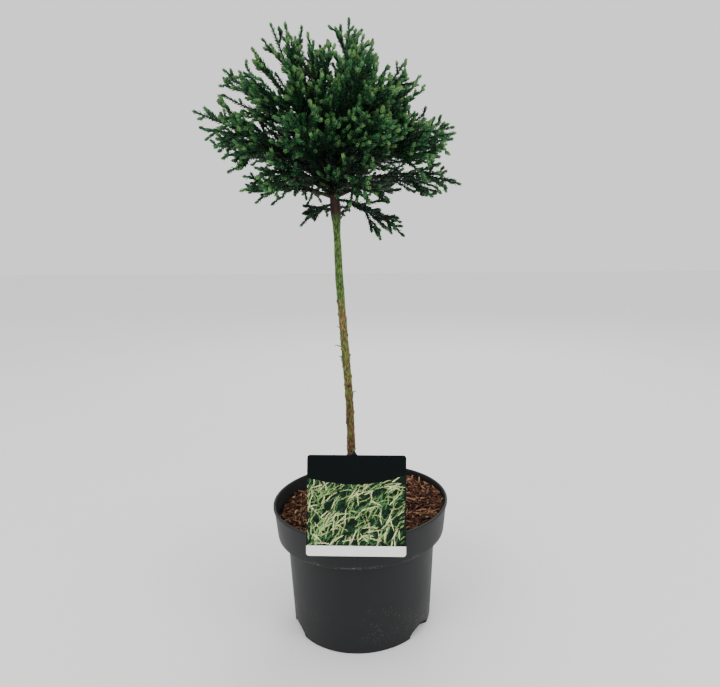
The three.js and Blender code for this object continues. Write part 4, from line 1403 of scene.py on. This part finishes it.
SPRIG_WIDTH, SPRIG_STACK = 0.65, 2.5  # width of a sprig's stem, and layers from the first sprig to the last
LEAFLETS = 9
LEAFLET_LENGTH, LEAFLET_WIDTH = (2.2, 3.6), (0.35, 0.6)
LEAFLET_SPLAY, LEAFLET_BOW = (0.35, 0.6), 0.25
STROKE_TAPER = np.array([0.75, 1, 0.4])
SPRIG_EDGE = CARD_WIDTH / 2 - 0.5  # how far from the card's middle a printed line may reach
SPRIG_FOOT = 2  # how near to the card's foot a printed line may come
SPRIG_TONES = ("behind", "between", "before", "lit")
TONE_LAG, TONE_SPREAD = 0.7, 0.9  # how far the tones lag behind the sprigs' order, and how much they stray
LAST_TONE = len(SPRIG_TONES) - 0.01


def on_card(u, v, out):
    """World place of a point on the card: u to its right, v up from its foot, out from its front face."""
    tilt, turn = math.radians(CARD_TILT), math.radians(CARD_TURN)
    u, v, w = np.broadcast_arrays(np.asarray(u, float), v, -CARD_THICKNESS - np.asarray(out, float))
    y = w * math.cos(tilt) + v * math.sin(tilt) - (POT_HEIGHT - CARD_FOOT) * math.tan(tilt)
    z = -w * math.sin(tilt) + v * math.cos(tilt) + CARD_FOOT
    x, y = u * math.cos(turn) - y * math.sin(turn), u * math.sin(turn) + y * math.cos(turn)
    return np.stack([x, y - RIM_RADIUS - CLEARANCE, z], axis=-1)


def card_outline(low=0, high=CARD_HEIGHT):
    """The card's outline with rounded corners, cut off below low and above high."""
    arc = np.linspace(0, np.pi / 2, CORNER_POINTS)
    side, foot, top = CARD_WIDTH / 2 - CARD_CORNER, CARD_CORNER, CARD_HEIGHT - CARD_CORNER
    middles = ((side, foot), (side, top), (-side, top), (-side, foot))
    turns = np.concatenate([arc + quarter * np.pi / 2 for quarter in (-1, 0, 1, 2)])
    outline = np.repeat(np.array(middles), CORNER_POINTS, axis=0)
    outline += CARD_CORNER * np.stack([np.cos(turns), np.sin(turns)], axis=1)
    outline[:, 1] = np.clip(outline[:, 1], low, high)
    return outline


def card_layer(name, outline, back, front, material):
    """A flat closed sheet of the card between two depths in front of its face."""
    count = len(outline)
    points = np.vstack([on_card(outline[:, 0], outline[:, 1], depth) for depth in (back, front)])
    faces = [tuple(reversed(range(count))), tuple(range(count, 2 * count))]
    faces += [(k, (k + 1) % count, count + (k + 1) % count, count + k) for k in range(count)]
    return closed_body(name, points, faces, material)


def print_material(name, colour, spread):
    """Offset ink on polypropylene card, varnished: a smooth half-gloss skin over a flat colour."""
    # the ink's tone drifts over about 7 mm
    stops = ((0.35, scaled(colour, 1 - spread)), (0.65, scaled(colour, 1 + spread)))
    return mottled_material(name, 140, stops, Roughness=0.35, IOR=1.49, Specular_IOR_Level=0.1)


def stake_material():
    """Polystyrene, moulded, black: smooth, with a soft shine and faint drag marks."""
    material, shader, at = new_material("Polystyrene, moulded, black")
    # the marks are about 2 mm wide and 20 mm long
    drag = add_node(material, "Mapping", {"Vector": at, "Scale": (1, 1, 0.1)})
    marks = add_node(material, "TexNoise", {"Vector": drag, "Scale": 500, "Detail": 2})
    shine = add_node(material, "MapRange", {"Value": marks, "To Min": 0.3, "To Max": 0.55})
    stops = ((0.3, linear("#040506")), (0.7, linear("#0b0c0e")))
    tone = add_node(material, "ValToRGB", {"Fac": marks}, stops)
    return finish(material, shader, Base_Color=tone, Roughness=shine, IOR=1.59, Specular_IOR_Level=0.2)


def stroke(root, heading, length, bow):
    """A curved line of three points on the card's face."""
    steps = np.linspace(0, 1, len(STROKE_TAPER))
    angle = heading + bow * steps
    return root + np.stack([np.cos(angle), np.sin(angle)], axis=1) * (steps * length)[:, None]


def sprig_strips(rng):
    """Printed sprigs, a stem with leaflets on both sides: for each tone its lines, widths and depths."""
    strips = {tone: [] for tone in SPRIG_TONES}
    for i in range(SPRIGS):
        # early sprigs lie behind and are darker
        order = i / SPRIGS
        place = rng.normal(len(SPRIG_TONES) * order - TONE_LAG, TONE_SPREAD)
        tone = SPRIG_TONES[int(np.clip(place, 0, LAST_TONE))]
        depth = LAYER * (1 + SPRIG_STACK * order)
        root = np.array([rng.uniform(*extent) for extent in SPRIG_ROOTS])
        heading, bow = rng.normal(*SPRIG_HEADING), rng.normal(*SPRIG_BOW)
        stem = stroke(root, heading, rng.uniform(*SPRIG_LENGTH), bow)
        lines = [(stem, SPRIG_WIDTH)]
        for k in range(LEAFLETS):
            share = (k + 0.5) / LEAFLETS
            at = np.array([np.interp(share, (0, 0.5, 1), stem[:, j]) for j in range(2)])
            hand = 1 if k % 2 else -1
            way = heading + bow * share + hand * rng.uniform(*LEAFLET_SPLAY)
            leaflet = stroke(at, way, rng.uniform(*LEAFLET_LENGTH), -hand * LEAFLET_BOW)
            lines.append((leaflet, rng.uniform(*LEAFLET_WIDTH)))
        for line, width in lines:
            if (np.abs(line[:, 0]) < SPRIG_EDGE).all() and (line[:, 1] > SPRIG_FOOT).all():
                strips[tone].append((line, width, depth))
    return strips


class CRYPTOMERIA_OT_label(bpy.types.Operator):
    """Makes the label card with its printed layers and finishes its stake"""

    bl_idname = "cryptomeria.label"
    bl_label = "Label"

    def execute(self, context):
        settings = context.scene.cryptomeria_label
        white = print_material("Offset ink, white", settings.strip, 0.02)
        black = print_material("Polypropylene card, black", settings.band, 0.1)
        ink = {name: print_material(f"Offset ink, {name}", getattr(settings, name), 0.12)
               for name in ("band", "field")}
        foot = curve_through(np.array(BAND_FOOT, float), np.linspace(0, 1, BAND_POINTS))
        band = np.vstack([foot, [p for p in card_outline() if p[1] > CARD_HEIGHT / 2]])
        pieces = [
            card_layer("card_body", card_outline(), -CARD_THICKNESS, CARD_FACE, black),
            card_layer(
                "card_field", card_outline(FIELD_FOOT, FIELD_TOP),
                CARD_FACE, CARD_FACE + LAYER, ink["field"]),
            card_layer("card_band", band, CARD_FACE, CARD_FACE + RAISED, ink["band"]),
            card_layer("card_strip", card_outline(0, STRIP_HEIGHT), CARD_FACE, CARD_FACE + RAISED, white),
        ]
        for tone, strokes in sprig_strips(np.random.default_rng(SPRIG_SEED)).items():
            material = print_material(f"Offset ink, sprigs {tone}", getattr(settings, tone), 0.3)
            flat = np.array([line for line, _, _ in strokes])
            depths = CARD_FACE + np.array([depth for _, _, depth in strokes])[:, None]
            paths = on_card(flat[..., 0], flat[..., 1], depths)
            way = np.gradient(flat, axis=1)
            tips = paths + on_card(-way[..., 1], way[..., 0], depths) - on_card(0, 0, depths)
            widths = np.array([width for _, width, _ in strokes])[:, None] * STROKE_TAPER
            points, faces = flat_strips(paths, tips - paths, widths, np.full(len(strokes), LAYER / 2))
            pieces.append(mesh_object(f"card_sprigs_{tone}", points, faces, material, smooth=False))
        for piece in pieces:
            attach(piece, "root")
            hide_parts("label_card")
        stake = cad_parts["label_stake"]
        stake.data.materials.clear()
        stake.data.materials.append(stake_material())
        return {"FINISHED"}


# ---- panel and running ------------------------------------------------------------------------------------

SETTINGS = {
    "cryptomeria_needles": NeedleSettings,
    "cryptomeria_stem": StemSettings,
    "cryptomeria_pot": PotSettings,
    "cryptomeria_label": LabelSettings,
    "cryptomeria_stage": StageSettings,
}
OPERATORS = (
    CRYPTOMERIA_OT_stage,
    CRYPTOMERIA_OT_pot,
    CRYPTOMERIA_OT_mulch,
    CRYPTOMERIA_OT_stem,
    CRYPTOMERIA_OT_boughs,
    CRYPTOMERIA_OT_foliage,
    CRYPTOMERIA_OT_label,
)


class CRYPTOMERIA_PT_panel(bpy.types.Panel):
    """Lists the pieces of the potted cryptomeria and their settings"""

    bl_label = "Potted cryptomeria"
    bl_space_type = "VIEW_3D"
    bl_region_type = "UI"
    bl_category = "Cryptomeria"

    def draw(self, context):
        layout = self.layout
        for operator in OPERATORS:
            layout.operator(operator.bl_idname)
        for name, group in SETTINGS.items():
            box = layout.box()
            box.label(text=group.__doc__)
            for key in group.__annotations__:
                box.prop(getattr(context.scene, name), key)


def register():
    """Makes the settings, the operators and the panel known."""
    for kind in (*SETTINGS.values(), *OPERATORS, CRYPTOMERIA_PT_panel):
        bpy.utils.register_class(kind)
    for name, group in SETTINGS.items():
        setattr(bpy.types.Scene, name, PointerProperty(type=group))


def unregister():
    """Takes the settings, the operators and the panel out again."""
    for name in SETTINGS:
        delattr(bpy.types.Scene, name)
    for kind in (CRYPTOMERIA_PT_panel, *OPERATORS, *SETTINGS.values()):
        bpy.utils.unregister_class(kind)


def main():
    """Makes the settings, the operators and the panel known, and runs every operator in turn."""
    register()
    for operator in OPERATORS:
        section, name = operator.bl_idname.split(".")
        getattr(getattr(bpy.ops, section), name)()


if __name__ == "__main__":
    main()
